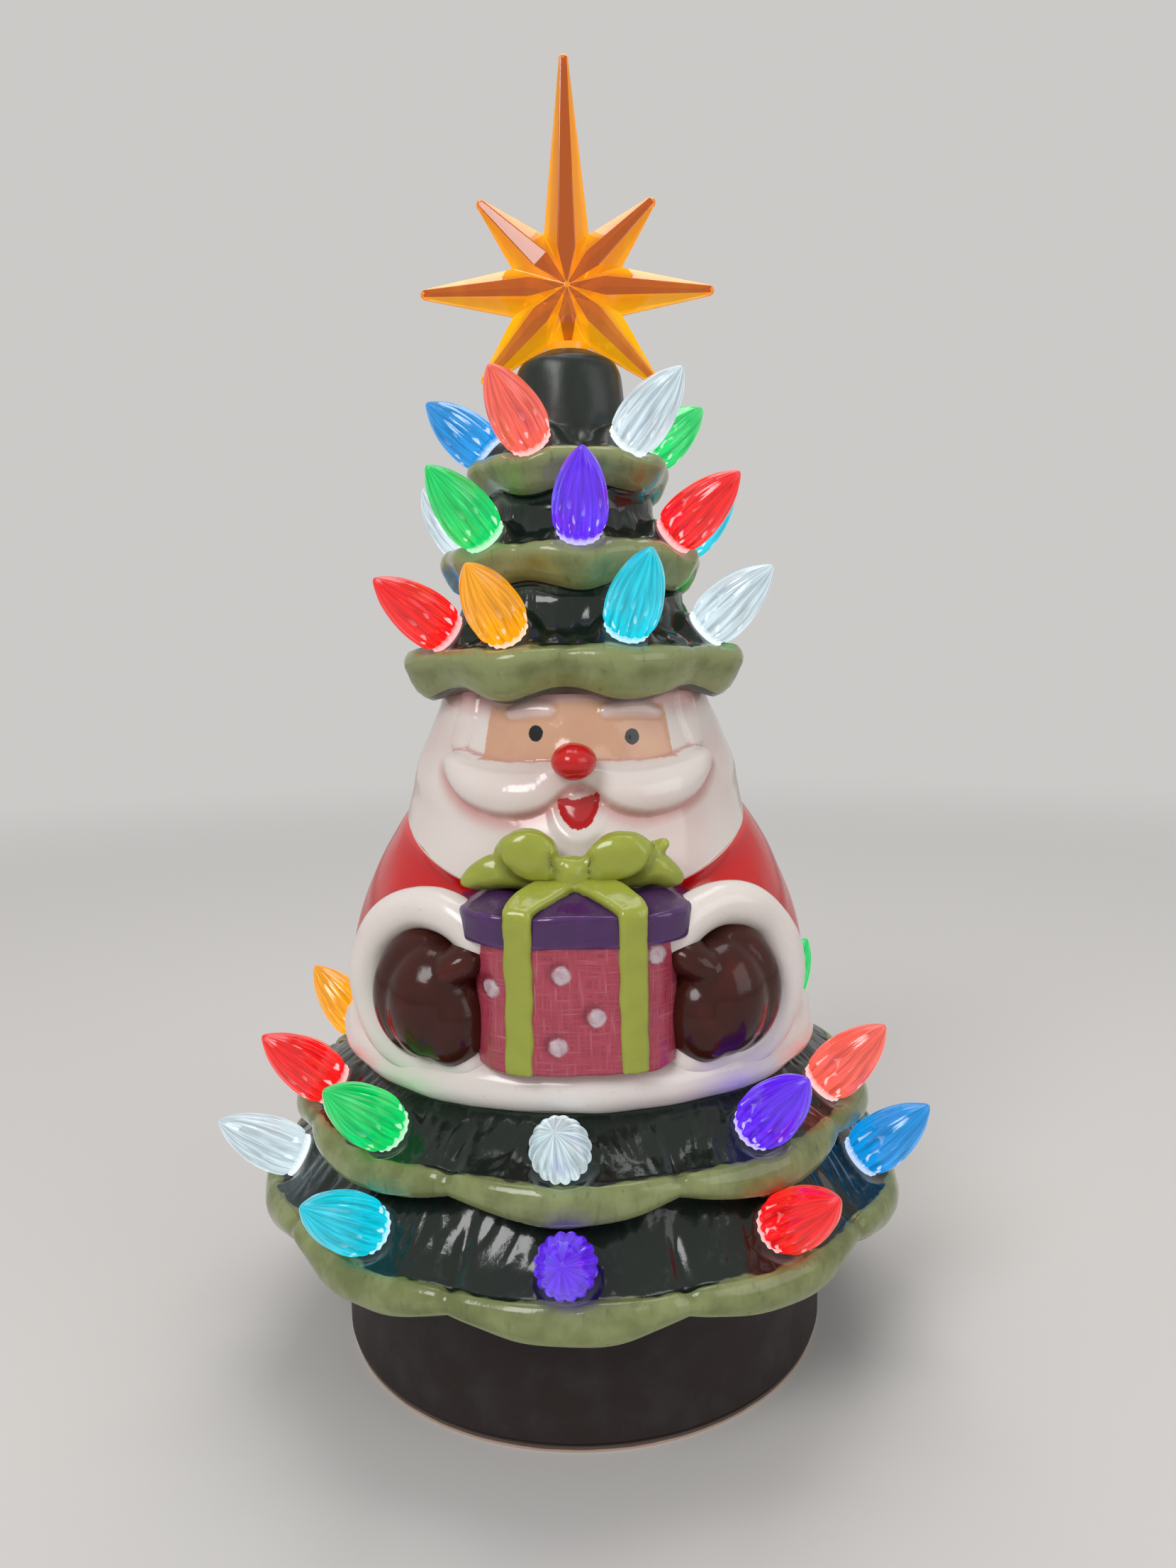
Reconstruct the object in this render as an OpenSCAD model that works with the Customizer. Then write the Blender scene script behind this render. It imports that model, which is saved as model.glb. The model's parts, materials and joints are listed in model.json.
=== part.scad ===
// Lit ceramic christmas tree: a hollow glazed figure of Santa with a gift, whose skirt and hat
// are the tiers of a tree, on a round base that holds the battery tray and the light column.
// The origin is at the centre of the ring that it stands on. The front looks along -Y.

/* [Base] */
// Radius of the round base
base_r = 55; // [52:0.5:58]
// Height of the deck that the tree stands on
base_h = 31; // [28:1:36]
// Wall of the base
base_wall = 4.5; // [3:0.5:6]
// Thickness of the deck
deck_t = 3; // [2:0.5:5]
// Height of the lip that keeps the tree on the deck
lip_h = 4; // [2:0.5:6]
// Wall of that lip
lip_wall = 3; // [2:0.5:4]
// Thickness of the pale ring under the base
ring_t = 1.2; // [0.8:0.1:3]
// Thickness of the plate that closes the base
plate_t = 2.5; // [2:0.25:4]
// Radius of the posts that take the plate screws
post_r = 5; // [4:0.25:5.5]

/* [Tree] */
// Wall of the ceramic casting
wall = 4.5; // [3:0.25:6]
// Outer radius of the foot of the tree
foot_r = 54; // [52.5:0.25:54.5]
// Height from the foot to the hem of the coat
skirt_h = 35; // [33:0.5:38]
// Radius at the hem, where the skirt ends
hem_r = 50; // [48:0.5:52]
// Radius of the lowest brim
brim_b_r = 71.6; // [69:0.2:74]
// Height of the lowest brim over the foot
brim_b_z = 6; // [5:0.25:8]
// Radius of the second brim
brim_a_r = 64.4; // [62:0.2:66]
// Height of the second brim over the foot
brim_a_z = 24; // [22:0.25:26]
// Half the height of the rolled edge of the skirt brims
skirt_roll = 3.6; // [2.5:0.1:4.5]
// Height of the coat from its hem to the neck at the sides
coat_h = 53; // [50:0.5:56]
// Radius of the coat at the arms
coat_r = 51; // [49:0.25:53]
// Height of the head from the neck to the hat
head_h = 27; // [25:0.5:30]
// Radius of the head at the widest part of the beard
head_r = 36.4; // [34:0.2:38]
// Radius of the head under the hat
brow_r = 29; // [27:0.25:31]
// Height of the hat
hat_h = 71.5; // [68:0.5:76]
// Radius of the lowest brim of the hat
brim_3_r = 38; // [36:0.2:40]
// Radius of the middle brim of the hat
brim_2_r = 29; // [27:0.2:31]
// Radius of the top brim of the hat
brim_1_r = 22.4; // [20:0.2:24]
// Half the height of the rolled edge of the hat brims
hat_roll = 4.4; // [3:0.1:5]
// Radius of the crown
crown_r = 11.8; // [10.5:0.1:13]

/* [Bulbs] */
// Length of a bulb over its collar
bulb_l = 19.8; // [16:0.2:22]
// Radius of a bulb
bulb_r = 5.7; // [4.5:0.1:6.5]
// Radius of the collar of a bulb
collar_r = 4.3; // [3.5:0.1:5]
// Thickness of the collar
collar_t = 1; // [0.6:0.1:1.5]
// Radius of the stem of a bulb
stem_r = 2.4; // [1.8:0.1:3]
// Length of the stem
stem_l = 5.5; // [4:0.25:8]
// Gap round the stem in its hole
stem_gap = 0.2; // [0.1:0.05:0.4]

/* [Star] */
// Height of the centre of the star over the crown
star_z = 13.2; // [12.2:0.2:15]
// Reach of the tall upper ray from the centre
star_top = 48.6; // [40:0.2:55]
// Reach of the level rays
star_side = 32; // [28:0.2:36]
// Reach of the slanted rays
star_slant = 27; // [23:0.2:30]
// Reach of the lower ray, which ends in the plug
star_low = 12; // [11:0.2:13]
// Distance of the valleys between the rays from the centre
star_valley = 12.8; // [11:0.1:14]
// Thickness of the star at its centre
star_t = 11; // [8:0.25:14]
// Thickness of the rays at their edges
star_edge = 1.6; // [1:0.1:2.5]
// Radius of the plug under the star
plug_r = 4.4; // [3.5:0.1:5.5]
// Length of the plug
plug_l = 9; // [6:0.5:12]

/* [Santa] */
// Radius of the ball nose
nose_r = 4.4; // [3:0.1:5.5]
// Width of the gift box
box_w = 40; // [36:0.5:44]
// Height of the gift box up to its lid
box_h = 24; // [22:0.5:26]
// Distance of the front of the gift box from the axis
box_y = 56; // [54.5:0.25:58]
// Width of the gift lid
lid_w = 46; // [43:0.5:48]
// Height of the gift lid
lid_h = 9; // [7:0.25:11]
// Width of the ribbons round the gift
ribbon_w = 5; // [3.5:0.25:6.5]
// Height that the ribbons stand proud of the gift
ribbon_t = 0.9; // [0.5:0.1:1.5]
// Half the span of the moustache
moustache_w = 28; // [25:0.5:30]
// Half the span of the bow
bow_w = 21.5; // [19:0.5:23]
// Radius of the palm of a mitten
mitten_r = 11; // [9.6:0.2:11.6]
// Thickness radius of the fur on the cuffs and the hem
fur_r = 4.6; // [3.8:0.1:5]

/* [Battery and light] */
// Length of a cell
cell_l = 44.5; // [44.5:0.1:44.5]
// Radius of a cell
cell_r = 5.25; // [5.25:0.05:5.25]
// Wall of the battery tray
tray_wall = 1.5; // [1.2:0.1:2]
// Thickness of the tray lid
lid_t = 1.5; // [1.2:0.1:2]
// Radius of the hinge pin of the tray lid
pin_r = 1.2; // [1:0.05:1.5]
// Radius of the tube of the light column
column_r = 5; // [4:0.25:6]
// Height of the board over the base plate
column_h = 58; // [45:1:65]
// Radius of the board with the diodes
board_r = 9; // [8:0.25:10]
// Height of the frosted diffuser
diffuser_h = 24; // [18:0.5:30]
// Travel of the switch knob
switch_travel = 4; // [3:0.5:5]
// Width of the switch knob
knob_w = 3.6; // [3:0.2:4.5]

/* [Hidden] */
// Side steps of the turned surfaces of the casting
skirt_steps = 80;
body_steps = 72;
hat_steps = 64;
// Clearances: tree over deck, pieces of different bodies, pieces of one body, hinge pin
seat_gap = 0.2;
free_gap = 0.4;
fit_gap = 0.1;
pin_gap = 0.06;
// Overrun of every cut past the face that it opens
cut = 1;

// Colours of the bulbs, and the order in which each row carries them
lens_names = ["red", "green", "purple", "white", "cyan", "amber", "coral", "blue"];
lens_tints = ["red", "limegreen", "blueviolet", "white", "deepskyblue", "orange", "coral", "royalblue"];

// Each row of bulbs: azimuth from the front in degrees, tilt over the level, colour
row_1_angles = [
    [-141, 40, "amber"], [-99, 40, "blue"], [-27, 37, "coral"], [44, 39, "white"],
    [112, 38, "green"], [168, 40, "red"]
];
row_2_angles = [
    [-164, 42, "blue"], [-112, 50, "white"], [-44, 41, "green"], [4, 47, "purple"],
    [57, 37, "red"], [108, 42, "cyan"], [156, 42, "amber"]
];
row_3_angles = [
    [-158, 40, "coral"], [-112, 40, "blue"], [-56, 34, "red"], [-24, 38, "amber"],
    [20, 48, "cyan"], [62, 40, "white"], [107, 40, "green"], [152, 40, "purple"]
];
row_a_angles = [
    [-145, 45, "purple"], [-107, 48, "amber"], [-68, 42, "red"], [-40, 40, "green"],
    [-3, 37, "white"], [36, 46, "purple"], [64, 48, "coral"], [119, 56, "green"],
    [158, 45, "blue"]
];
row_b_angles = [
    [-145, 38, "green"], [-108, 38, "coral"], [-73, 32, "white"], [-38, 35, "cyan"],
    [-2, 30, "purple"], [35, 38, "red"], [68, 44, "blue"], [107, 32, "amber"],
    [145, 38, "white"], [178, 30, "red"]
];

// Heights of the members of the casting
foot_z = base_h + seat_gap;
hem_z = foot_z + skirt_h;
neck_z = hem_z + coat_h;
brow_z = neck_z + head_h;
crown_z = brow_z + hat_h;
star_c = crown_z + star_z;
// How far the neck line falls at the front, and how far it comes forward
neck_drop = 14;
neck_out = 5.5;
neck_r = 37.5;

// A tier: neck radius, brim radius, brim height, half height of the roll, top radius, top
// height, lobes, azimuth of one lobe, and how far up the branches its bulbs are seated
brim_lobes = [10, 9, 8, 7, 5];
lobe_angles = [-2, -3, -24, 4, -27];
lobe_reach = 1.6;
lobe_droop = 1.8;
neck_in = 7.5;
skirt_seat_share = 0.4;
hat_seat_shares = [0.28, 0.12, 0.34];
hat_brim_shares = [0.63, 0.36, 0.06];
hat_top_shares = [0.76, 0.52, 0.252];
hat_neck_in = 4.6;
crown_lip = 2.6;
a_z = foot_z + brim_a_z;
tier_b = [foot_r, brim_b_r, foot_z + brim_b_z, skirt_roll, brim_a_r - neck_in,
    a_z - skirt_roll, brim_lobes[0], lobe_angles[0], skirt_seat_share];
tier_a = [brim_a_r - neck_in, brim_a_r, a_z, skirt_roll, hem_r, hem_z, brim_lobes[1],
    lobe_angles[1], skirt_seat_share];
tier_3 = [brow_r, brim_3_r, brow_z + hat_brim_shares[2] * hat_h, hat_roll,
    brim_2_r - hat_neck_in, brow_z + hat_top_shares[2] * hat_h, brim_lobes[2], lobe_angles[2],
    hat_seat_shares[2]];
tier_2 = [brim_2_r - hat_neck_in, brim_2_r, brow_z + hat_brim_shares[1] * hat_h, hat_roll,
    brim_1_r - hat_neck_in, brow_z + hat_top_shares[1] * hat_h, brim_lobes[3], lobe_angles[3],
    hat_seat_shares[1]];
tier_1 = [brim_1_r - hat_neck_in, brim_1_r, brow_z + hat_brim_shares[0] * hat_h, hat_roll,
    crown_r, brow_z + hat_top_shares[0] * hat_h, brim_lobes[4], lobe_angles[4],
    hat_seat_shares[0]];

// Rows of a tier: radius share from brim to neck, height share of the roll, and how far the
// row swells with the lobes. The rows after these climb the dark branches to the tier's top
roll_shares = [[1.0, -0.95, 0], [0.34, -1.0, 0.7], [0.1, -0.72, 1], [0, -0.1, 1], [0.06, 0.5, 1],
    [0.2, 0.9, 0.9], [0.36, 0.98, 0.8]];
slope_shares = [[0.3, 0.22, 0.6], [0.62, 0.56, 0.3]];

// Places of the Santa details: how far each stands from the axis, and its height
nose_rise = 12.8;
nose_z = neck_z + nose_rise;
face_y = 38;
box_z = hem_z + 2 * fur_r + fit_gap;
lid_z = box_z + box_h;
lid_over = 0.8;
lid_y = box_y + lid_over;
bow_y = 45;
bow_rise = 2;
mitten_x = 28.4;
mitten_y = 41;
mitten_z = box_z + 1.18 * mitten_r;
cuff_y = 40;
cuff_r = mitten_r + fur_r;
cuff_start = 50;
cuff_sweep = 240;
cuff_turn = 30;
// How deep the applied pieces sit in the wall that they are luted on
lute = 1.5;
coat_seat_r = coat_r - 3 * lute;
head_seat_r = head_r - lute;

// Lumps of the applied pieces, each a row of balls: place to the side, back and up, and radius,
// all as shares of the size of the piece
moustache_inner_shares = [[0.12, 0, -0.143, 0.13], [0.46, 0.14, -0.236, 0.18]];
moustache_outer_shares = [[0.46, 0.14, -0.236, 0.18], [0.79, 0.43, -0.157, 0.15],
    [0.93, 0.64, -0.063, 0.086]];
bow_loop_shares = [[0.09, 0, 0, 0.12], [0.33, 0.05, 0.23, 0.195], [0.6, 0.09, 0.075, 0.13]];
bow_tail_shares = [[0.37, 0.05, 0, 0.11], [0.62, 0.12, 0.01, 0.12], [0.88, 0.19, -0.03, 0.12]];
knot_shares = [[0, 0, 0, 0.18]];
palm_shares = [[0, 0, 0, 1], [-0.45, -0.35, -0.05, 0.95]];
thumb_shares = [[-0.48, -0.77, 0.38, 0.48], [-0.77, -0.96, 0, 0.35]];

// Base fittings
base_in_r = base_r - base_wall;
lip_r = foot_r - wall - free_gap;
plate_z = ring_t;
plate_top = plate_z + plate_t;
plate_r = base_in_r - fit_gap;
post_bite = 1;
post_c = base_in_r - post_r + post_bite;
post_az = [0, 120, 240];
screw_r = 1.4;
screw_head_r = 2.6;
screw_head_h = 1.4;
screw_l = 12;
bevel = 1.2;
ring_in = 0.6;
// Battery tray: the cells lie along X behind the light column
cells = 3;
cell_gap = 0.4;
cell_pitch = 2 * cell_r + cell_gap;
spring_l = 4.2;
contact_t = 0.4;
tray_in_l = cell_l + spring_l + 2 * (contact_t + 2 * fit_gap);
tray_in_w = cells * cell_pitch + cell_gap;
tray_rim = 1.6;
tray_l = tray_in_l + 2 * tray_wall;
tray_w = tray_in_w + 2 * tray_wall;
tray_h = 2 * cell_r + tray_wall + tray_rim;
tray_y = -4.6;
tray_top = plate_top + tray_h;
lug_rim = 1;
hinge_y = tray_y + tray_w + pin_r + lug_rim + free_gap;
hinge_z = tray_top + lid_t / 2 + free_gap / 2;
lug_t = 3;
lug_x = 14;
tab_l = 3;
tab_w = 10;
// Light column
column_y = -14;
column_wall = 1.4;
flange_r = 9;
flange_t = 2;
board_z = plate_top + column_h;
board_t = 1.2;
diffuser_wall = 1.2;
diffuser_r = board_r + fit_gap + diffuser_wall;
diode_r = 1.5;
diode_h = 3.4;
diode_ring = 5.6;
diodes = 6;
// Switch
switch_z = 14;
switch_w = 14;
switch_h = 7;
switch_d = 5;
switch_back = 1.8;
knob_out = 1.6;
// Leads
lead_r = 0.7;
lead_out = 3;
lead_in = 4;
lead_side = 3;
nub_l = 0.8;
nub_r = 1.9;

// Swell of a brim: one at the middle of a lobe, nought at a notch
function lobe(a, tier) = abs(cos(tier[6] * (a - tier[7]) / 2));

// Point of the casting at an azimuth from the front, a radius and a height
function at(a, r, z) = [r * sin(a), -r * cos(a), z];

function azimuths(steps) = [for (i = [0:steps - 1]) 360 * i / steps];

function mix(low, high, share) = low + (high - low) * share;

// Radius and height of one row of the rolled brim; the first row is the plain neck
function roll_at(a, tier, row) =
    let (
        swell = row[2] * (lobe(a, tier) - 0.5),
        roll = tier[3] * (0.72 + 0.4 * lobe(a, tier)),
        depth = 2.2 * tier[3]
    )
    row[2] == 0
        ? [tier[0], tier[2] + row[1] * tier[3]]
        : [tier[1] - row[0] * depth + swell * lobe_reach,
            tier[2] + row[1] * roll - swell * lobe_droop];

function roll_ring(tier, row, steps) = [
    for (a = azimuths(steps))
        let (p = roll_at(a, tier, row))
        at(a, p[0], p[1])
];

// Where the dark branches start, at the upper edge of the roll
function slope_foot(a, tier) = roll_at(a, tier, roll_shares[len(roll_shares) - 1]);

// Radius and height on the branches at a share of the way up
function slope_at(a, tier, share, rise) =
    let (foot = slope_foot(a, tier))
    [mix(foot[0], tier[4], share), mix(foot[1], tier[5], rise)];

function slope_ring(tier, row, steps) = [
    for (a = azimuths(steps))
        let (p = slope_at(a, tier, row[0], row[1]))
        at(a, p[0], p[1])
];

function tier_rings(tier, steps) = concat(
    [for (row = roll_shares) roll_ring(tier, row, steps)],
    [for (row = slope_shares) slope_ring(tier, row, steps)]
);

function level_ring(r, z, steps) = [for (a = azimuths(steps)) at(a, r, z)];

// Closed wall through a loop of rings, which run up the outside and down the inside
module ring_wall(rings) {
    steps = len(rings[0]);
    last = len(rings);
    faces = [
        for (i = [0:last - 1], j = [0:steps - 1])
            let (
                k = (i + 1) % last,
                n = (j + 1) % steps
            )
            each [
                [i * steps + j, k * steps + j, k * steps + n],
                [i * steps + j, k * steps + n, i * steps + n]
            ]
    ];
    polyhedron(points = [for (ring = rings) each ring], faces = faces);
}

// A bulb stands on its seat with its axis turned out and up
module on_tier(spot, tier) {
    p = slope_at(spot[0], tier, tier[8], 0.8 * tier[8]);
    translate(at(spot[0], p[0], p[1]))
        rotate([90 - spot[1], 0, spot[0]])
            children();
}

module bulb_hole() {
    translate([0, 0, -stem_l - cut - wall])
        cylinder(r = stem_r + stem_gap, h = stem_l + 2 * cut + wall, $fn = 32);
    cylinder(r = collar_r + stem_gap, h = bulb_l, $fn = 32);
    translate([0, 0, collar_t])
        cylinder(r = bulb_r + stem_gap, h = bulb_l, $fn = 32);
}

module bulb() {
    flame_shares = [[0.86, 0.06], [0.97, 0.16], [1, 0.3], [0.95, 0.46], [0.8, 0.64], [0.56, 0.81],
        [0.3, 0.93], [0.12, 0.985]];
    rotate_extrude($fn = 48)
        polygon(concat(
            [[0, -stem_l], [stem_r, -stem_l], [stem_r, 0], [collar_r, 0], [collar_r, collar_t]],
            [for (s = flame_shares) [s[0] * bulb_r, s[1] * bulb_l]],
            [[0, bulb_l]]
        ));
}

function tint(name) = [for (i = [0:len(lens_names) - 1]) if (lens_names[i] == name) lens_tints[i]][0];

module skirt_bulb(row, tier, i) {
    color(tint(row[i][2]), 0.8)
        on_tier(row[i], tier)
            translate([0, 0, fit_gap])
                bulb();
}

module hat_bulbs(name) {
    color(tint(name), 0.8)
        for (pair = [[row_1_angles, tier_1], [row_2_angles, tier_2], [row_3_angles, tier_3]])
            for (spot = pair[0])
                if (spot[2] == name)
                    on_tier(spot, pair[1])
                        translate([0, 0, fit_gap])
                            bulb();
}

module skirt_shell() {
    inner = foot_r - wall;
    color("darkslategray")
        difference() {
            ring_wall(concat(
                [level_ring(foot_r, foot_z, skirt_steps)],
                tier_rings(tier_b, skirt_steps),
                tier_rings(tier_a, skirt_steps),
                [level_ring(hem_r, hem_z, skirt_steps),
                    level_ring(hem_r - wall, hem_z, skirt_steps),
                    level_ring(inner, foot_z + brim_a_z - 2 * wall, skirt_steps),
                    level_ring(inner, foot_z, skirt_steps)]
            ));
            for (spot = row_b_angles)
                on_tier(spot, tier_b)
                    bulb_hole();
            for (spot = row_a_angles)
                on_tier(spot, tier_a)
                    bulb_hole();
        }
}

// Share of the way to the front, nought at the sides and the back
function frontness(a) = pow(max(0, cos(a)), 1.5);

function neck_ring(inset) = [
    for (a = azimuths(body_steps))
        at(a, neck_r + neck_out * frontness(a) - inset, neck_z - neck_drop * frontness(a))
];

// The coat widens to the arms and then narrows to the neck line
module coat_shell() {
    row_shares = [[0.1, 0.992], [0.2, 0.984], [0.32, 0.992], [0.45, 1], [0.58, 0.98],
        [0.7, 0.937], [0.82, 0.875], [0.93, 0.804]];
    color("firebrick")
        ring_wall(concat(
            [level_ring(hem_r, hem_z, body_steps)],
            [for (row = row_shares) [
                for (a = azimuths(body_steps))
                    let (
                        top = coat_h - neck_drop * frontness(a),
                        neck = neck_r + neck_out * frontness(a),
                        r = min(row[1] * coat_r, mix(coat_r, neck, pow(row[0], 3)))
                    )
                    at(a, r, hem_z + row[0] * top)
            ]],
            [neck_ring(0), neck_ring(wall),
                level_ring(coat_r - 2 * wall, hem_z + 0.4 * coat_h, body_steps),
                level_ring(hem_r - wall, hem_z, body_steps)]
        ));
}

// White fur band round the hem of the coat
module coat_hem() {
    color("white")
        translate([0, 0, hem_z + fur_r])
            rotate_extrude($fn = 96)
                difference() {
                    translate([hem_r - fur_r / 6, 0])
                        circle(r = fur_r, $fn = 24);
                    translate([0, -fur_r - cut])
                        square([hem_r + fur_r / 6, 2 * (fur_r + cut)]);
                }
}

// Rows of the head: height share from neck to hat, radius, how far the front comes out
module head_shell() {
    row_shares = [[0.08, 0.995, 0.137], [0.2, 1, 0.093], [0.34, 0.984, 0.06],
        [0.46, 0.956, 0.027], [0.56, 0.923, -0.016], [0.7, 0.879, 0], [0.84, 0.83, 0.02]];
    color("white")
        ring_wall(concat(
            [neck_ring(0)],
            [for (row = row_shares) [
                for (a = azimuths(body_steps))
                    let (foot = neck_z - neck_drop * frontness(a))
                    at(a, head_r * (row[1] + row[2] * frontness(a)), mix(foot, brow_z, row[0]))
            ]],
            [level_ring(brow_r, brow_z, body_steps), level_ring(brow_r - wall, brow_z, body_steps),
                level_ring(head_r - wall, neck_z + 0.25 * head_h, body_steps), neck_ring(wall)]
        ));
}

module hat_shell() {
    shoulder_shares = [[1.02, 0.82], [1, 0.9], [0.96, 0.945], [0.86, 0.97]];
    top_r = plug_r + crown_lip;
    socket_z = crown_z - plug_l - 2 * cut;
    color("darkslategray")
        difference() {
            ring_wall(concat(
                [level_ring(brow_r, brow_z, hat_steps)],
                tier_rings(tier_3, hat_steps),
                tier_rings(tier_2, hat_steps),
                tier_rings(tier_1, hat_steps),
                [for (s = shoulder_shares)
                    level_ring(s[0] * crown_r, brow_z + s[1] * hat_h, hat_steps)],
                [level_ring(top_r, crown_z, hat_steps),
                    level_ring(plug_r / 2, crown_z, hat_steps),
                    level_ring(plug_r / 2, socket_z, hat_steps),
                    level_ring(tier_1[0] - 1.6 * wall, tier_1[2], hat_steps),
                    level_ring(tier_2[0] - 1.3 * wall, tier_2[2], hat_steps),
                    level_ring(brow_r - wall, brow_z, hat_steps)]
            ));
            translate([0, 0, socket_z - cut])
                cylinder(r = plug_r + free_gap, h = plug_l + 4 * cut, $fn = 48);
            for (pair = [[row_1_angles, tier_1], [row_2_angles, tier_2], [row_3_angles, tier_3]])
                for (spot = pair[0])
                    on_tier(spot, pair[1])
                        bulb_hole();
        }
}

// The star: eight rays round a thick centre, flat edged, with a round plug below
module star() {
    rays = [[0, star_top], [45, star_slant], [90, star_side], [135, star_slant], [180, star_low],
        [225, star_slant], [270, star_side], [315, star_slant]];
    count = len(rays);
    rim = [
        for (ray = rays)
            each [
                [ray[1] * sin(ray[0]), ray[1] * cos(ray[0])],
                [star_valley * sin(ray[0] + 22.5), star_valley * cos(ray[0] + 22.5)]
            ]
    ];
    points = concat(
        [for (p = rim) [p[0], -star_edge / 2, star_c + p[1]]],
        [for (p = rim) [p[0], star_edge / 2, star_c + p[1]]],
        [[0, -star_t / 2, star_c], [0, star_t / 2, star_c]]
    );
    n = 2 * count;
    color("orange", 0.8)
        union() {
            polyhedron(points = points, faces = [
                for (i = [0:n - 1])
                    let (k = (i + 1) % n)
                    each [
                        [2 * n, i, k],
                        [2 * n + 1, n + k, n + i],
                        [i, n + i, n + k],
                        [i, n + k, k]
                    ]
            ]);
            translate([0, 0, crown_z - plug_l])
                cylinder(r = plug_r, h = plug_l + 3 * cut, $fn = 48);
        }
}

// Keeps an applied piece outside the wall that it is luted on
module luted(seat_r) {
    difference() {
        children();
        translate([0, 0, hem_z])
            cylinder(r = seat_r, h = coat_h + head_h, $fn = 96);
    }
}

// One smooth lump through a row of balls
module lump(shares, size, side) {
    hull()
        for (s = shares)
            translate(size * [side * s[0], s[1], s[2]])
                sphere(r = size * s[3], $fn = 24);
}

// A bent lump, with a hull from each ball of the row to the next
module chain(shares, size, side) {
    for (i = [0:len(shares) - 2])
        lump([shares[i], shares[i + 1]], size, side);
}

module moustache() {
    color("white")
        luted(head_seat_r - lute)
            translate([0, -face_y, nose_z])
                for (side = [-1, 1]) {
                    lump(moustache_inner_shares, moustache_w, side);
                    lump(moustache_outer_shares, moustache_w, side);
                }
}

module nose() {
    color("red")
        translate([0, -face_y - nose_r / 3, nose_z])
            sphere(r = nose_r, $fn = 48);
}

// Outline of the gift, seen from above, with round front corners
module gift_outline(w, y) {
    corner = 0.24 * w;
    hull() {
        for (side = [-1, 1])
            translate([side * (w / 2 - corner), -y + corner + 0.1 * w])
                circle(r = corner, $fn = 32);
        translate([0, -y + w / 3])
            circle(r = w / 3, $fn = 32);
        translate([-w / 2, -coat_seat_r + corner])
            square([w, corner]);
    }
}

module gift_box() {
    color("palevioletred")
        luted(coat_seat_r)
            translate([0, 0, box_z])
                linear_extrude(box_h)
                    gift_outline(box_w, box_y);
}

module gift_lid() {
    color("rebeccapurple")
        luted(coat_seat_r - lute)
            translate([0, 0, lid_z])
                linear_extrude(lid_h)
                    gift_outline(lid_w, lid_y);
}

module gift_ribbons() {
    ribbon_x = 0.5 * box_w - 1.9 * ribbon_w;
    color("yellowgreen")
        intersection() {
            difference() {
                union() {
                    translate([0, 0, box_z])
                        linear_extrude(box_h)
                            offset(delta = ribbon_t + lid_over)
                                gift_outline(box_w, box_y);
                    translate([0, 0, lid_z])
                        linear_extrude(lid_h + ribbon_t)
                            offset(delta = ribbon_t)
                                gift_outline(lid_w, lid_y);
                }
                translate([0, 0, box_z - cut])
                    linear_extrude(box_h + 2 * cut)
                        gift_outline(box_w, box_y);
                translate([0, 0, lid_z])
                    linear_extrude(lid_h)
                        gift_outline(lid_w, lid_y);
            }
            for (side = [-1, 1])
                translate([side * ribbon_x - ribbon_w / 2, -lid_y - 2 * ribbon_t, box_z])
                    cube([ribbon_w, lid_y - coat_seat_r, box_h + lid_h + 2 * ribbon_t]);
        }
}

module bow() {
    color("yellowgreen")
        translate([0, -bow_y, lid_z + lid_h + bow_rise])
            union() {
                lump(knot_shares, bow_w, 1);
                for (side = [-1, 1]) {
                    chain(bow_loop_shares, bow_w, side);
                    chain(bow_tail_shares, bow_w, side);
                }
            }
}

// Mitten over the near side of the gift, with its thumb in front
module mitten() {
    color("saddlebrown")
        luted(coat_seat_r)
            translate([-mitten_x, -mitten_y, mitten_z])
                union() {
                    lump(palm_shares, mitten_r, -1);
                    lump(thumb_shares, mitten_r, -1);
                }
}

module left_mitten() {
    mitten();
}

module right_mitten() {
    mirror([1, 0, 0])
        mitten();
}

// Fur cuff: a ring of round section about the mitten
module cuff() {
    color("white")
        luted(coat_seat_r)
            translate([-mitten_x, -cuff_y, mitten_z])
                rotate([90, 0, -cuff_turn])
                    rotate([0, 0, cuff_start])
                        rotate_extrude(angle = cuff_sweep, $fn = 64)
                            translate([cuff_r, 0])
                                circle(r = fur_r, $fn = 24);
}

module left_cuff() {
    cuff();
}

module right_cuff() {
    mirror([1, 0, 0])
        cuff();
}

module base_drum() {
    color("black")
        difference() {
            union() {
                rotate_extrude($fn = 128)
                    polygon([
                        [base_in_r, ring_t], [base_r - bevel, ring_t],
                        [base_r, ring_t + bevel], [base_r, base_h - bevel],
                        [base_r - bevel, base_h], [lip_r, base_h],
                        [lip_r, base_h + lip_h], [lip_r - lip_wall, base_h + lip_h],
                        [lip_r - lip_wall, base_h - deck_t], [base_in_r, base_h - deck_t]
                    ]);
                for (a = post_az)
                    translate(at(a, post_c, plate_top))
                        cylinder(r = post_r, h = base_h - deck_t - plate_top + cut, $fn = 48);
            }
            for (a = post_az)
                translate(at(a, post_c, plate_z))
                    cylinder(r = screw_r + fit_gap, h = screw_l + cut, $fn = 32);
            translate([-(knob_w + switch_travel) / 2 - free_gap, base_in_r - cut,
                switch_z - knob_w / 2 - free_gap])
                cube([knob_w + switch_travel + 2 * free_gap, base_wall + 2 * cut,
                    knob_w + 2 * free_gap]);
        }
}

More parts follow.
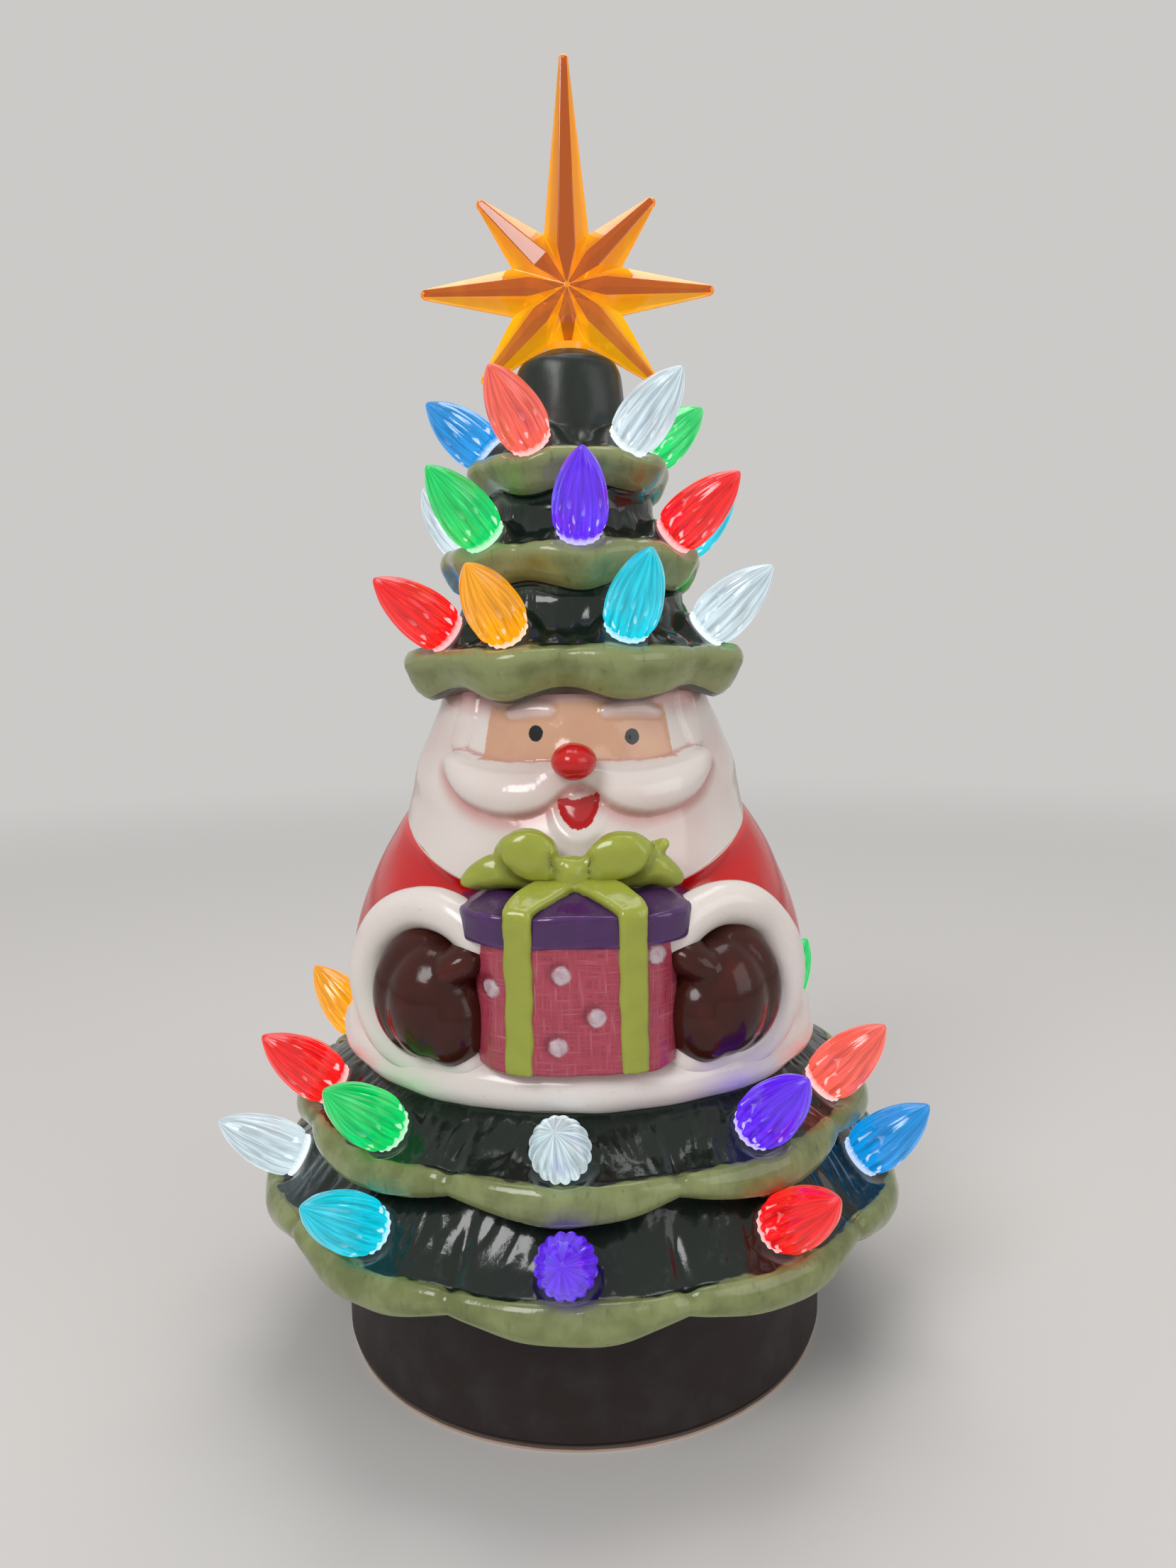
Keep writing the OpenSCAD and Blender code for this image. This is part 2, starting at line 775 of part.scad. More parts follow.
module base_plate() {
    color("dimgray")
        difference() {
            translate([0, 0, plate_z])
                cylinder(r = plate_r, h = plate_t, $fn = 128);
            for (a = post_az) {
                translate(at(a, post_c, plate_z - cut))
                    cylinder(r = screw_r + fit_gap, h = plate_t + 2 * cut, $fn = 32);
                translate(at(a, post_c, plate_z - cut))
                    cylinder(r = screw_head_r + fit_gap, h = screw_head_h + cut, $fn = 32);
            }
        }
}

module foot_ring() {
    color("tan")
        difference() {
            cylinder(r = base_r - ring_in, h = ring_t, $fn = 128);
            translate([0, 0, -cut])
                cylinder(r = base_in_r + free_gap, h = ring_t + 2 * cut, $fn = 128);
        }
}

module screws() {
    color("silver")
        for (a = post_az)
            translate(at(a, post_c, plate_z))
                union() {
                    cylinder(r = screw_head_r, h = screw_head_h, $fn = 32);
                    cylinder(r = screw_r, h = screw_l, $fn = 32);
                }
}

module battery_tray() {
    color("black")
        difference() {
            union() {
                translate([-tray_l / 2, tray_y, plate_top])
                    cube([tray_l, tray_w, tray_h]);
                for (side = [-1, 1])
                    translate([side * lug_x - lug_t / 2, 0, 0]) {
                        translate([0, tray_y + tray_w - cut, plate_top])
                            cube([lug_t, hinge_y - tray_y - tray_w + cut + pin_r + lug_rim,
                                tray_h]);
                        translate([0, hinge_y - pin_r - lug_rim, tray_top - cut])
                            cube([lug_t, 2 * (pin_r + lug_rim), hinge_z - tray_top + cut]);
                        translate([0, hinge_y, hinge_z])
                            rotate([0, 90, 0])
                                cylinder(r = pin_r + lug_rim, h = lug_t, $fn = 32);
                    }
            }
            translate([-tray_in_l / 2, tray_y + tray_wall, plate_top + tray_wall])
                cube([tray_in_l, tray_in_w, tray_h]);
            translate([-lug_x - lug_t, hinge_y, hinge_z])
                rotate([0, 90, 0])
                    cylinder(r = pin_r + pin_gap, h = 2 * (lug_x + lug_t), $fn = 32);
        }
}

function cell_y(i) = tray_y + tray_wall + cell_gap / 2 + (i + 0.5) * cell_pitch;
cell_z = plate_top + tray_wall + cell_r + fit_gap;

module battery_cells() {
    color("goldenrod")
        for (i = [0:cells - 1])
            translate([(i % 2 == 0 ? -1 : 1) * spring_l / 2, cell_y(i), cell_z])
                rotate([0, i % 2 == 0 ? -90 : 90, 0])
                    translate([0, 0, -cell_l / 2])
                        union() {
                            cylinder(r = cell_r, h = cell_l - nub_l, $fn = 48);
                            cylinder(r = nub_r, h = cell_l, $fn = 32);
                        }
}

// Springs at the flat ends of the cells and plates at their studs
module battery_contacts() {
    color("silver")
        for (i = [0:cells - 1]) {
            side = i % 2 == 0 ? 1 : -1;
            translate([side * (tray_in_l / 2 - contact_t / 2 - fit_gap), cell_y(i), cell_z])
                cube([contact_t, 1.5 * cell_r, 1.5 * cell_r], center = true);
            translate([-side * (tray_in_l / 2 - contact_t / 2 - fit_gap), cell_y(i), cell_z])
                cube([contact_t, 1.5 * cell_r, 1.5 * cell_r], center = true);
            translate([side * (tray_in_l / 2 - contact_t - fit_gap), cell_y(i), cell_z])
                rotate([0, -side * 90, 0])
                    cylinder(r1 = 0.6 * cell_r, r2 = 0.3 * cell_r, h = spring_l - 2 * fit_gap,
                        $fn = 32);
        }
}

module battery_lid() {
    front = tray_y;
    color("black")
        union() {
            translate([-tray_l / 2, front, tray_top + free_gap / 2])
                cube([tray_l, tray_w, lid_t]);
            translate([-tab_w / 2, front - tab_l, tray_top + free_gap / 2])
                cube([tab_w, tab_l + cut, lid_t]);
            for (side = [-1, 1])
                translate([side * (lug_x - 1.4 * lug_t) - lug_t / 2, tray_y + tray_w - cut,
                    tray_top + free_gap / 2])
                    cube([lug_t, hinge_y - tray_y - tray_w + cut, lid_t]);
            translate([-lug_x - lug_t / 2, hinge_y, hinge_z])
                rotate([0, 90, 0])
                    cylinder(r = pin_r, h = 2 * lug_x + lug_t, $fn = 32);
        }
}

module light_column() {
    color("white")
        translate([0, column_y, 0])
            rotate_extrude($fn = 64)
                polygon([
                    [column_r - column_wall, plate_top], [flange_r, plate_top],
                    [flange_r, plate_top + flange_t], [column_r, plate_top + flange_t],
                    [column_r, board_z - flange_t], [diffuser_r, board_z - flange_t],
                    [diffuser_r, board_z], [column_r - column_wall, board_z]
                ]);
}

module led_board() {
    color("seagreen")
        translate([0, column_y, board_z])
            cylinder(r = board_r, h = board_t, $fn = 64);
}

module leds() {
    color("lightyellow")
        translate([0, column_y, board_z + board_t])
            for (i = [0:diodes])
                translate(i == 0 ? [0, 0, 0] : at(360 * i / diodes, diode_ring, 0))
                    union() {
                        cylinder(r = diode_r, h = diode_h - diode_r, $fn = 32);
                        translate([0, 0, diode_h - diode_r])
                            sphere(r = diode_r, $fn = 32);
                    }
}

module diffuser() {
    color("white", 0.6)
        translate([0, column_y, board_z])
            difference() {
                union() {
                    cylinder(r = diffuser_r, h = diffuser_h - diffuser_r, $fn = 64);
                    translate([0, 0, diffuser_h - diffuser_r])
                        sphere(r = diffuser_r, $fn = 64);
                }
                translate([0, 0, -2 * diffuser_r])
                    cylinder(r = 2 * diffuser_r, h = 2 * diffuser_r, $fn = 64);
                translate([0, 0, -cut])
                    cylinder(r = diffuser_r - diffuser_wall, h = diffuser_h - diffuser_r + cut,
                        $fn = 64);
                translate([0, 0, diffuser_h - diffuser_r])
                    sphere(r = diffuser_r - diffuser_wall, $fn = 64);
            }
}

module switch_body() {
    color("black")
        translate([-switch_w / 2, base_in_r - switch_d - switch_back, switch_z - switch_h / 2])
            cube([switch_w, switch_d, switch_h]);
}

module switch_knob() {
    color("gray")
        translate([-switch_travel / 2 - knob_w / 2, base_in_r - switch_back + free_gap, switch_z
            - knob_w / 2])
            cube([knob_w, base_wall + switch_back - free_gap + knob_out, knob_w]);
}

function unit(v) = v / norm(v);

// Ring of a lead at one corner of its route, square to the way through the corner
function lead_ring(route, i, sides) =
    let (
        last = len(route) - 1,
        way = unit(route[min(i + 1, last)] - route[max(i - 1, 0)]),
        across = unit(cross(way, [0, 0, 1])),
        up = cross(across, way)
    )
    [for (j = [0:sides - 1])
        route[i] + lead_r * (cos(360 * j / sides) * across + sin(360 * j / sides) * up)];

// Round lead along the corners of its route, which never runs upright
module lead(route) {
    sides = 8;
    last = len(route) - 1;
    polyhedron(
        points = [for (i = [0:last]) each lead_ring(route, i, sides)],
        faces = concat(
            [[for (j = [0:sides - 1]) j]],
            [
                for (i = [0:last - 1], j = [0:sides - 1])
                    let (k = (j + 1) % sides)
                    each [
                        [i * sides + j, (i + 1) * sides + j, (i + 1) * sides + k],
                        [i * sides + j, (i + 1) * sides + k, i * sides + k]
                    ]
            ],
            [[for (j = [sides - 1:-1:0]) last * sides + j]]
        )
    );
}

module leads() {
    low = plate_top + lead_r + fit_gap;
    side_x = tray_l / 2 + lead_out;
    start_y = tray_y + lead_in;
    bend = 2 * lead_r;
    switch_y = base_in_r - switch_back - switch_d;
    color("red") {
        lead([[tray_l / 2, start_y, low], [side_x - bend, start_y, low],
            [side_x, start_y - bend, low], [side_x, column_y + lead_in, low],
            [side_x - bend, column_y + lead_in - bend, low], [flange_r, column_y, low]]);
        lead([[-lead_side, tray_y + tray_w, low], [-lead_side, tray_y + tray_w + bend, low],
            [-lead_side, switch_y - bend, switch_z], [-lead_side, switch_y, switch_z]]);
    }
}

base_drum();
base_plate();
foot_ring();
screws();
battery_tray();
battery_cells();
battery_contacts();
battery_lid();
light_column();
led_board();
leds();
diffuser();
switch_body();
switch_knob();
leads();
skirt_shell();
coat_shell();
coat_hem();
head_shell();
hat_shell();
moustache();
nose();
bow();
gift_box();
gift_lid();
gift_ribbons();
left_mitten();
right_mitten();
left_cuff();
right_cuff();
star();
for (i = [0:len(row_a_angles) - 1])
    skirt_bulb(row_a_angles, tier_a, i);
for (i = [0:len(row_b_angles) - 1])
    skirt_bulb(row_b_angles, tier_b, i);
for (name = lens_names)
    hat_bulbs(name);
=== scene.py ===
"""Dresses the lit ceramic christmas tree: its glazed casting, the figure with the gift, the lamps,
the star, the base and the fittings inside. All lengths are in metres, the front looks along -Y."""
import json
import math
from functools import partial

import bmesh
import bpy
from bpy.props import FloatProperty, FloatVectorProperty, IntProperty, PointerProperty
from bpy.types import Operator, Panel, PropertyGroup
from mathutils import Matrix, Vector
from mathutils.kdtree import KDTree
from mathutils.noise import noise


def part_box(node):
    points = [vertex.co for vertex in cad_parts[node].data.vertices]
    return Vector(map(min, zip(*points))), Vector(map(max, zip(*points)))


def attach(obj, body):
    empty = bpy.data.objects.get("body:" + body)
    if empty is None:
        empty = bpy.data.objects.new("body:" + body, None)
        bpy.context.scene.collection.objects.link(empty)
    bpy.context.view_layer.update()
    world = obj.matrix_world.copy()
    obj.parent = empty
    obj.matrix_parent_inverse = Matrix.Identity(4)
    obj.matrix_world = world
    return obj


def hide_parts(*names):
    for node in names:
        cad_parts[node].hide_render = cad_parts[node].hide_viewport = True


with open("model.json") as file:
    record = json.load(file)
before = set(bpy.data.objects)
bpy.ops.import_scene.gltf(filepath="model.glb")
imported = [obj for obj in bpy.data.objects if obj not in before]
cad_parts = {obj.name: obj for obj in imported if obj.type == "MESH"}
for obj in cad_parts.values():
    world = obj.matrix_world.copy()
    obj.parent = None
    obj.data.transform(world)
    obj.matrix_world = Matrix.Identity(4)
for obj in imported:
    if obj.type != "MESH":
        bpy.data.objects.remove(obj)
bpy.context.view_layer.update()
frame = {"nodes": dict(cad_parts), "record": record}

bl_info = {
    "name": "Lit Ceramic Tree",
    "version": (1, 0, 0),
    "blender": (4, 5, 0),
    "location": "View3D > Sidebar > Ceramic Tree",
    "description": "Glazed tree with a figure, lamps, a star and a lit base",
    "category": "Object",
}

LENS_NAMES = ("red", "green", "purple", "white", "cyan", "amber", "coral", "blue")
MERGED = 1e-6
SPUN_STEPS = 60
BARE_CLAY = 1


def length(label, default, text):
    """A length that a user may change."""
    return FloatProperty(name=label, description=text, default=default, min=0.0, unit="LENGTH", precision=4)


def share(label, default, text):
    """A plain share or strength."""
    return FloatProperty(name=label, description=text, default=default, precision=3)


def angle(label, default, text):
    """An angle that a user may change, with its default in degrees."""
    return FloatProperty(name=label, description=text, default=math.radians(default), subtype="ANGLE")


def tint(label, default, text):
    """A colour that a user may change."""
    return FloatVectorProperty(name=label, description=text, default=default, min=0.0, max=1.0,
                               subtype="COLOR")


class TreeSizes(PropertyGroup):
    """Sizes of the tree's casting."""
    wall: length("Wall", 0.0045, "Wall of the casting")
    foot_r: length("Foot radius", 0.054, "Radius of the foot of the skirt")
    hem_r: length("Hem radius", 0.050, "Radius where the skirt meets the coat")
    low_brim_r: length("Lowest brim", 0.0716, "Radius of the lowest brim")
    low_brim_z: length("Lowest brim height", 0.006, "Height of the lowest brim over the foot")
    skirt_brim_r: length("Second brim", 0.0644, "Radius of the second brim")
    skirt_brim_z: length("Second brim height", 0.024, "Height of the second brim over the foot")
    skirt_roll: length("Skirt roll", 0.0036, "Half the height of the rolled edge of the skirt")
    skirt_in: length("Skirt neck", 0.0075, "How far a skirt tier draws in under the brim above")
    brow_r: length("Hat radius", 0.029, "Radius of the head where the hat starts")
    hat_brim_r: length("Hat brim", 0.038, "Radius of the lowest brim of the hat")
    mid_brim_r: length("Middle brim", 0.029, "Radius of the middle brim of the hat")
    top_brim_r: length("Top brim", 0.0224, "Radius of the top brim of the hat")
    hat_roll: length("Hat roll", 0.0044, "Half the height of the rolled edge of the hat")
    hat_in: length("Hat neck", 0.0046, "How far a hat tier draws in under the brim above")
    crown_r: length("Crown radius", 0.0118, "Radius of the crown")
    lobe_reach: length("Lobe reach", 0.0016, "How far the lobes of a brim swell")
    lobe_droop: length("Lobe droop", 0.0018, "How far the lobes of a brim hang down")
    needle_pitch: length("Needle pitch", 0.0024, "Distance between the modelled needles")
    needle_h: length("Needle height", 0.00024, "Height of the modelled needles")
    fold: length("Fold size", 0.012, "Distance between the soft folds of the branches")
    fold_h: length("Fold height", 0.0007, "Height of the soft folds of the branches")
    crease: length("Crease width", 0.0016, "Width of the creases at the notches of a brim")


class FigureSizes(PropertyGroup):
    """Sizes of the figure and the gift."""
    coat_r: length("Coat radius", 0.051, "Radius of the coat at the arms")
    neck_r: length("Neck radius", 0.0375, "Radius of the neck line")
    neck_out: length("Neck reach", 0.0055, "How far the neck line comes forward")
    neck_drop: length("Neck drop", 0.014, "How far the neck line falls in front")
    head_r: length("Head radius", 0.0364, "Radius of the head at the beard")
    fur: length("Band radius", 0.0046, "Radius of the white bands of the coat")
    nose_r: length("Nose radius", 0.0046, "Radius of the nose")
    mitten_r: length("Mitten radius", 0.011, "Radius of a mitten's palm")
    mitten_x: length("Mitten distance", 0.0284, "Distance of a mitten from the middle")
    mitten_y: length("Mitten depth", 0.041, "Distance of a mitten in front of the axis")
    cuff_y: length("Cuff depth", 0.040, "Distance of a cuff in front of the axis")
    cuff_turn: angle("Cuff turn", 30, "How far a cuff turns to the side")
    box_w: length("Gift width", 0.040, "Width of the gift box")
    box_y: length("Gift front", 0.056, "Distance of the gift's front from the axis")
    lid_w: length("Gift lid width", 0.046, "Width of the gift's lid")
    ribbon_w: length("Ribbon width", 0.0054, "Width of a ribbon")


class LampSizes(PropertyGroup):
    """Sizes of the lamps and the star."""
    height: length("Lamp length", 0.0198, "Length of a lamp over its collar")
    radius: length("Lamp radius", 0.0057, "Largest radius of a lamp")
    collar_r: length("Collar radius", 0.0043, "Radius of a lamp's collar")
    collar_t: length("Collar thickness", 0.001, "Thickness of a lamp's collar")
    stem_r: length("Stem radius", 0.0024, "Radius of a lamp's stem")
    stem_l: length("Stem length", 0.0055, "Length of a lamp's stem")
    flutes: IntProperty(name="Flutes", description="Flutes round a lamp", default=16, min=6, max=32)
    star_z: length("Star height", 0.0132, "Height of the star's centre over the crown")
    star_top: length("Tall ray", 0.0486, "Reach of the tall ray")
    star_side: length("Level ray", 0.032, "Reach of the level rays")
    star_slant: length("Slanted ray", 0.027, "Reach of the slanted rays")
    star_low: length("Lower ray", 0.012, "Reach of the lower ray")
    star_valley: length("Star valley", 0.0128, "Distance of the valleys between the rays")
    star_t: length("Star thickness", 0.011, "Thickness of the star at its centre")
    star_edge: length("Star edge", 0.0016, "Thickness of the star at its edges")
    plug_r: length("Plug radius", 0.0044, "Radius of the star's plug")
    plug_l: length("Plug length", 0.009, "Length of the star's plug")


class Finishes(PropertyGroup):
    """Colours of the glazes, the lenses and the stage."""
    branch: tint("Branches", (0.010, 0.016, 0.012), "Dark glaze of the branches")
    branch_thin: tint("Branch ridges", (0.045, 0.062, 0.048), "Dark glaze where it runs thin")
    brim: tint("Brims", (0.150, 0.176, 0.060), "Green glaze of the brims")
    brim_pool: tint("Brim hollows", (0.050, 0.048, 0.013), "Green glaze where it pools")
    brim_thin: tint("Brim ridges", (0.255, 0.290, 0.120), "Green glaze where it runs thin")
    white: tint("White glaze", (0.760, 0.690, 0.650), "White glaze of beard and bands")
    # Pink of the painted blush on the face, also used as painted shade in the hollows of the white glaze.
    blush: tint("Blush", (0.560, 0.245, 0.230), "Pink shade in the hollows of the white glaze")
    skin: tint("Skin", (0.640, 0.370, 0.235), "Painted skin of the face")
    red: tint("Red glaze", (0.560, 0.006, 0.008), "Red glaze of the coat")
    brown: tint("Brown glaze", (0.042, 0.008, 0.005), "Brown glaze of the mittens")
    lime: tint("Lime glaze", (0.315, 0.350, 0.045), "Lime glaze of bow and ribbons")
    pink: tint("Pink glaze", (0.400, 0.050, 0.085), "Pink glaze of the gift box")
    purple: tint("Purple glaze", (0.058, 0.016, 0.092), "Purple glaze of the gift lid")
    base: tint("Base", (0.020, 0.013, 0.012), "Matt glaze of the base")
    amber: tint("Star plastic", (0.980, 0.360, 0.015), "Clear amber of the star")
    floor: tint("Floor", (0.620, 0.600, 0.580), "Plain pale floor")
    red_lens: tint("Red lens", (0.900, 0.010, 0.012), "Red lamps")
    green_lens: tint("Green lens", (0.005, 0.620, 0.130), "Green lamps")
    purple_lens: tint("Purple lens", (0.120, 0.020, 0.850), "Purple lamps")
    white_lens: tint("White lens", (0.560, 0.680, 0.730), "White lamps")
    cyan_lens: tint("Cyan lens", (0.005, 0.560, 0.720), "Cyan lamps")
    amber_lens: tint("Amber lens", (0.950, 0.360, 0.004), "Amber lamps")
    coral_lens: tint("Coral lens", (0.900, 0.120, 0.085), "Coral lamps")
    blue_lens: tint("Blue lens", (0.005, 0.260, 0.680), "Blue lamps")


class StageSizes(PropertyGroup):
    """Camera and lights of the stage."""
    lens: FloatProperty(name="Lens", description="Focal length", default=24.97, unit="CAMERA")
    pitch: angle("Pitch", 6.53, "How far the camera looks down")
    roll: angle("Roll", -0.93, "Roll of the camera")
    eye: FloatVectorProperty(name="Eye", description="Place of the camera", unit="LENGTH", precision=4,
                             default=(0.00275, -0.2475, 0.1515), subtype="TRANSLATION")
    floor_half: length("Floor", 3.0, "Half the width of the floor")
    sky: share("Sky", 0.42, "Strength of the soft light from all round")
    backdrop: tint("Backdrop", (0.60, 0.59, 0.575), "Colour behind the floor")


class Wire:
    """A node's output that adds Math nodes when it stands in an expression."""

    def __init__(self, graph, socket):
        self.graph = graph
        self.socket = socket

    def math(self, operation, *others, turned_round=False):
        """A Math node of this wire and the others."""
        values = [self, *others]
        if turned_round:
            values.reverse()
        return self.graph.add("ShaderNodeMath", {"operation": operation}, dict(enumerate(values)))

    def __add__(self, other):
        return self.math("ADD", other)

    def __sub__(self, other):
        return self.math("SUBTRACT", other)

    def __rsub__(self, other):
        return self.math("SUBTRACT", other, turned_round=True)

    def __mul__(self, other):
        return self.math("MULTIPLY", other)

    def __truediv__(self, other):
        return self.math("DIVIDE", other)

    def __pow__(self, other):
        return self.math("POWER", other)

    __radd__ = __add__
    __rmul__ = __mul__

    def step(self, low, high):
        """Runs smoothly from 0 at low to 1 at high."""
        sockets = {"Value": self, "From Min": low, "From Max": high}
        return self.graph.add("ShaderNodeMapRange", {"interpolation_type": "SMOOTHSTEP"}, sockets)


class Graph:
    """The nodes of one material, or of the world."""

    def __init__(self, name, owner=None):
        self.owner = owner or bpy.data.materials.new(name)
        self.owner.use_nodes = True
        self.tree = self.owner.node_tree
        self.tree.nodes.clear()

    def add(self, kind, settings=None, sockets=None, output=0):
        """Adds a node with its settings, then the values or links of its sockets."""
        node = self.tree.nodes.new(kind)
        for key, value in (settings or {}).items():
            setattr(node, key, value)
        for key, value in (sockets or {}).items():
            if isinstance(value, Wire):
                self.tree.links.new(value.socket, node.inputs[key])
            else:
                node.inputs[key].default_value = value
        return Wire(self, node.outputs[output])

    def place(self):
        """Where a point lies on the piece."""
        return self.add("ShaderNodeTexCoord", output="Object")

    def attribute(self, name, output="Fac"):
        """A value that the piece's points carry."""
        return self.add("ShaderNodeAttribute", {"attribute_name": name}, output=output)

    def axes(self, vector):
        """The three coordinates of a vector, each as a wire."""
        parts = self.add("ShaderNodeSeparateXYZ", sockets={0: vector}).socket.node
        return [Wire(self, parts.outputs[i]) for i in range(3)]

    def noise(self, size, stretch=(1, 1, 1), detail=2.0, vector=None):
        """Cloudy noise with clouds of that size, from 0 to 1."""
        factors = [1 / (size * s) for s in stretch]
        scaled = self.add("ShaderNodeVectorMath", {"operation": "MULTIPLY"},
                          {0: vector or self.place(), 1: factors})
        return self.add("ShaderNodeTexNoise", sockets={"Vector": scaled, "Scale": 1.0, "Detail": detail})

    def mix(self, low, high, factor):
        """A colour between two colours."""
        low, high = [c if isinstance(c, Wire) else (*c[:3], 1.0) for c in (low, high)]
        return self.add("ShaderNodeMix", {"data_type": "RGBA"}, {0: factor, 6: low, 7: high}, output=2)

    def bump(self, height, depth):
        """Normals that follow a height, which stands for a real depth."""
        return self.add("ShaderNodeBump", sockets={"Height": height, "Distance": depth, "Strength": 1.0})

    def close(self, kind, surface):
        """Links the surface to the node that ends the graph."""
        self.tree.links.new(surface.socket, self.tree.nodes.new(kind).inputs["Surface"])
        return self.owner

    def finish(self, **sockets):
        """Adds the surface and returns the material."""
        named = {}
        for key, value in sockets.items():
            if "color" in key and not isinstance(value, Wire):
                value = (*value[:3], 1.0)
            named[key.replace("_", " ").title().replace("Ior", "IOR")] = value
        return self.close("ShaderNodeOutputMaterial", self.add("ShaderNodeBsdfPrincipled", sockets=named))


def most(a, b):
    """The larger of two wires."""
    return a.math("MAXIMUM", b)


def step(x, low, high):
    """Runs smoothly from 0 at low to 1 at high."""
    x = min(1.0, max(0.0, (x - low) / (high - low)))
    return x * x * (3 - 2 * x)


def hump(x, width):
    """Round hump, 1 in the middle and nearly nought past its width."""
    return math.exp(-(x / width) ** 2)


def chance(*keys):
    """A number from 0 to 1 that belongs to its keys."""
    return math.sin(sum((k + 1.7) * w for k, w in zip(keys, (12.9898, 78.233, 37.719)))) * 43758.5453 % 1


def azimuth(co):
    """Angle from the front towards +X."""
    return math.atan2(co.x, -co.y)


def at(a, r, z):
    """Point at an azimuth, a radius and a height."""
    return Vector((r * math.sin(a), -r * math.cos(a), z))


def between(low, high, amount):
    """Number part of the way from low to high."""
    return low + (high - low) * amount


def paled(color, amount, pale=1.0):
    """A colour taken some way to a pale grey."""
    return [between(v, pale, amount) for v in color]


def dimmed(color, factor, lift=0.0):
    """A colour with its values multiplied and lifted."""
    return [min(1.0, v * factor + lift) for v in color]


def smooth_through(points, t):
    """Point of a smooth curve through a row of points, with t counting the points."""
    i = min(int(t), len(points) - 2)
    t -= i
    b, c = points[i], points[i + 1]
    a = points[i - 1] if i else b
    d = points[i + 2] if i + 2 < len(points) else c
    return [
        0.5 * (2 * q + (r - p) * t + (2 * p - 5 * q + 4 * r - s) * t * t + (3 * q - p - 3 * r + s) * t ** 3)
        for p, q, r, s in zip(a, b, c, d)
    ]


def traced(points, per_step):
    """Points along the smooth curve through a row of points, a number of them to each step."""
    return [smooth_through(points, i / per_step) for i in range(per_step * (len(points) - 1) + 1)]


def turned(outline, steps, closed=True):
    """Spins an outline of radii and heights round Z. The layer along counts its points."""
    bm = bmesh.new()
    along = bm.verts.layers.float.new("along")
    verts = [bm.verts.new((0, -r, z)) for r, z in outline]
    for i, v in enumerate(verts):
        v[along] = i
    pairs = zip(verts, verts[1:] + verts[:1]) if closed else zip(verts, verts[1:])
    edges = [bm.edges.new(pair) for pair in pairs]
    parts = max(1, steps // SPUN_STEPS)
    bmesh.ops.spin(bm, geom=verts + edges, axis=(0, 0, 1), angle=2 * math.pi, steps=steps // parts,
                   use_merge=True)
    bmesh.ops.remove_doubles(bm, verts=bm.verts, dist=MERGED)
    if parts > 1:
        rings = [e for e in bm.edges if e.verts[0][along] == e.verts[1][along]]
        bmesh.ops.subdivide_edges(bm, edges=rings, cuts=parts - 1)
        for v in bm.verts:
            flat = math.hypot(v.co.x, v.co.y)
            if flat:
                v.co.xy *= outline[round(v[along])][0] / flat
    bmesh.ops.recalc_face_normals(bm, faces=bm.faces)
    return bm


def shell(rows, steps, closed=True):
    """Turned wall whose rows each give a radius and a height for every azimuth."""
    bm = turned([row(0.0) for row in rows], steps, closed)
    along = bm.verts.layers.float["along"]
    for v in bm.verts:
        a = azimuth(v.co)
        r, z = rows[round(v[along])](a)
        v.co = at(a, r, z)
    bmesh.ops.recalc_face_normals(bm, faces=bm.faces)
    bm.normal_update()
    return bm


def level(r, z, _a=0.0):
    """Row of a wall that has one radius and height all round."""
    return r, z


def raise_skin(bm, height):
    """Moves each point along its normal by the height there."""
    bm.normal_update()
    moves = [(v, v.normal * height(v)) for v in bm.verts]
    for v, move in moves:
        v.co += move


def soften(bm, rounds):
    """Smooths a skin a number of times."""
    for _ in range(rounds):
        bmesh.ops.smooth_vert(bm, verts=bm.verts, factor=0.5, use_axis_x=True, use_axis_y=True,
                              use_axis_z=True)


def mark_hollows(bm, rounds=10, reach=0.0006):
    """Stores 1 in the hollows and -1 on the ridges, where glaze pools and runs thin."""
    layer = bm.verts.layers.float.new("hollow")
    bm.normal_update()
    still = [(v.co.copy(), v.normal.copy()) for v in bm.verts]
    soften(bm, rounds)
    for v, (co, normal) in zip(bm.verts, still):
        v[layer] = (v.co - co).dot(normal) / reach
        v.co = co


def uneven(bm, size, height):
    """Raises soft bumps of a size and a height, as a hand leaves them."""
    raise_skin(bm, lambda v: noise(v.co / size) * height)


def piece(name, bm, materials, slot, nodes, body="tree"):
    """Finishes a bmesh as a piece that rides on its body and stands for its CAD nodes."""
    mesh = bpy.data.meshes.new(name)
    bm.to_mesh(mesh)
    bm.free()
    mesh.shade_smooth()
    for material in materials:
        mesh.materials.append(material)
    obj = bpy.data.objects.new(name, mesh)
    bpy.context.scene.collection.objects.link(obj)
    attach(obj, body)
    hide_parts(*nodes)
    return obj


def glazed(name, bm, materials, slot, nodes, **marks):
    """Finishes a glazed piece, whose hollows are marked first."""
    mark_hollows(bm, **marks)
    piece(name, bm, materials, slot, nodes)


def bare_inside(bm, last):
    """Gives the faces past a row of a wall its second material, the bare clay inside."""
    along = bm.verts.layers.float["along"]
    for face in bm.faces:
        if all(v[along] > last + 0.5 or v[along] < 0.5 for v in face.verts):
            face.material_index = BARE_CLAY


def ball(bm, place, radii, turn=None, steps=3):
    """Adds an egg with three radii at a place."""
    matrix = Matrix.Translation(place) @ (turn or Matrix()) @ Matrix.Diagonal((*radii, 1))
    bmesh.ops.create_icosphere(bm, subdivisions=steps, radius=1.0, matrix=matrix)


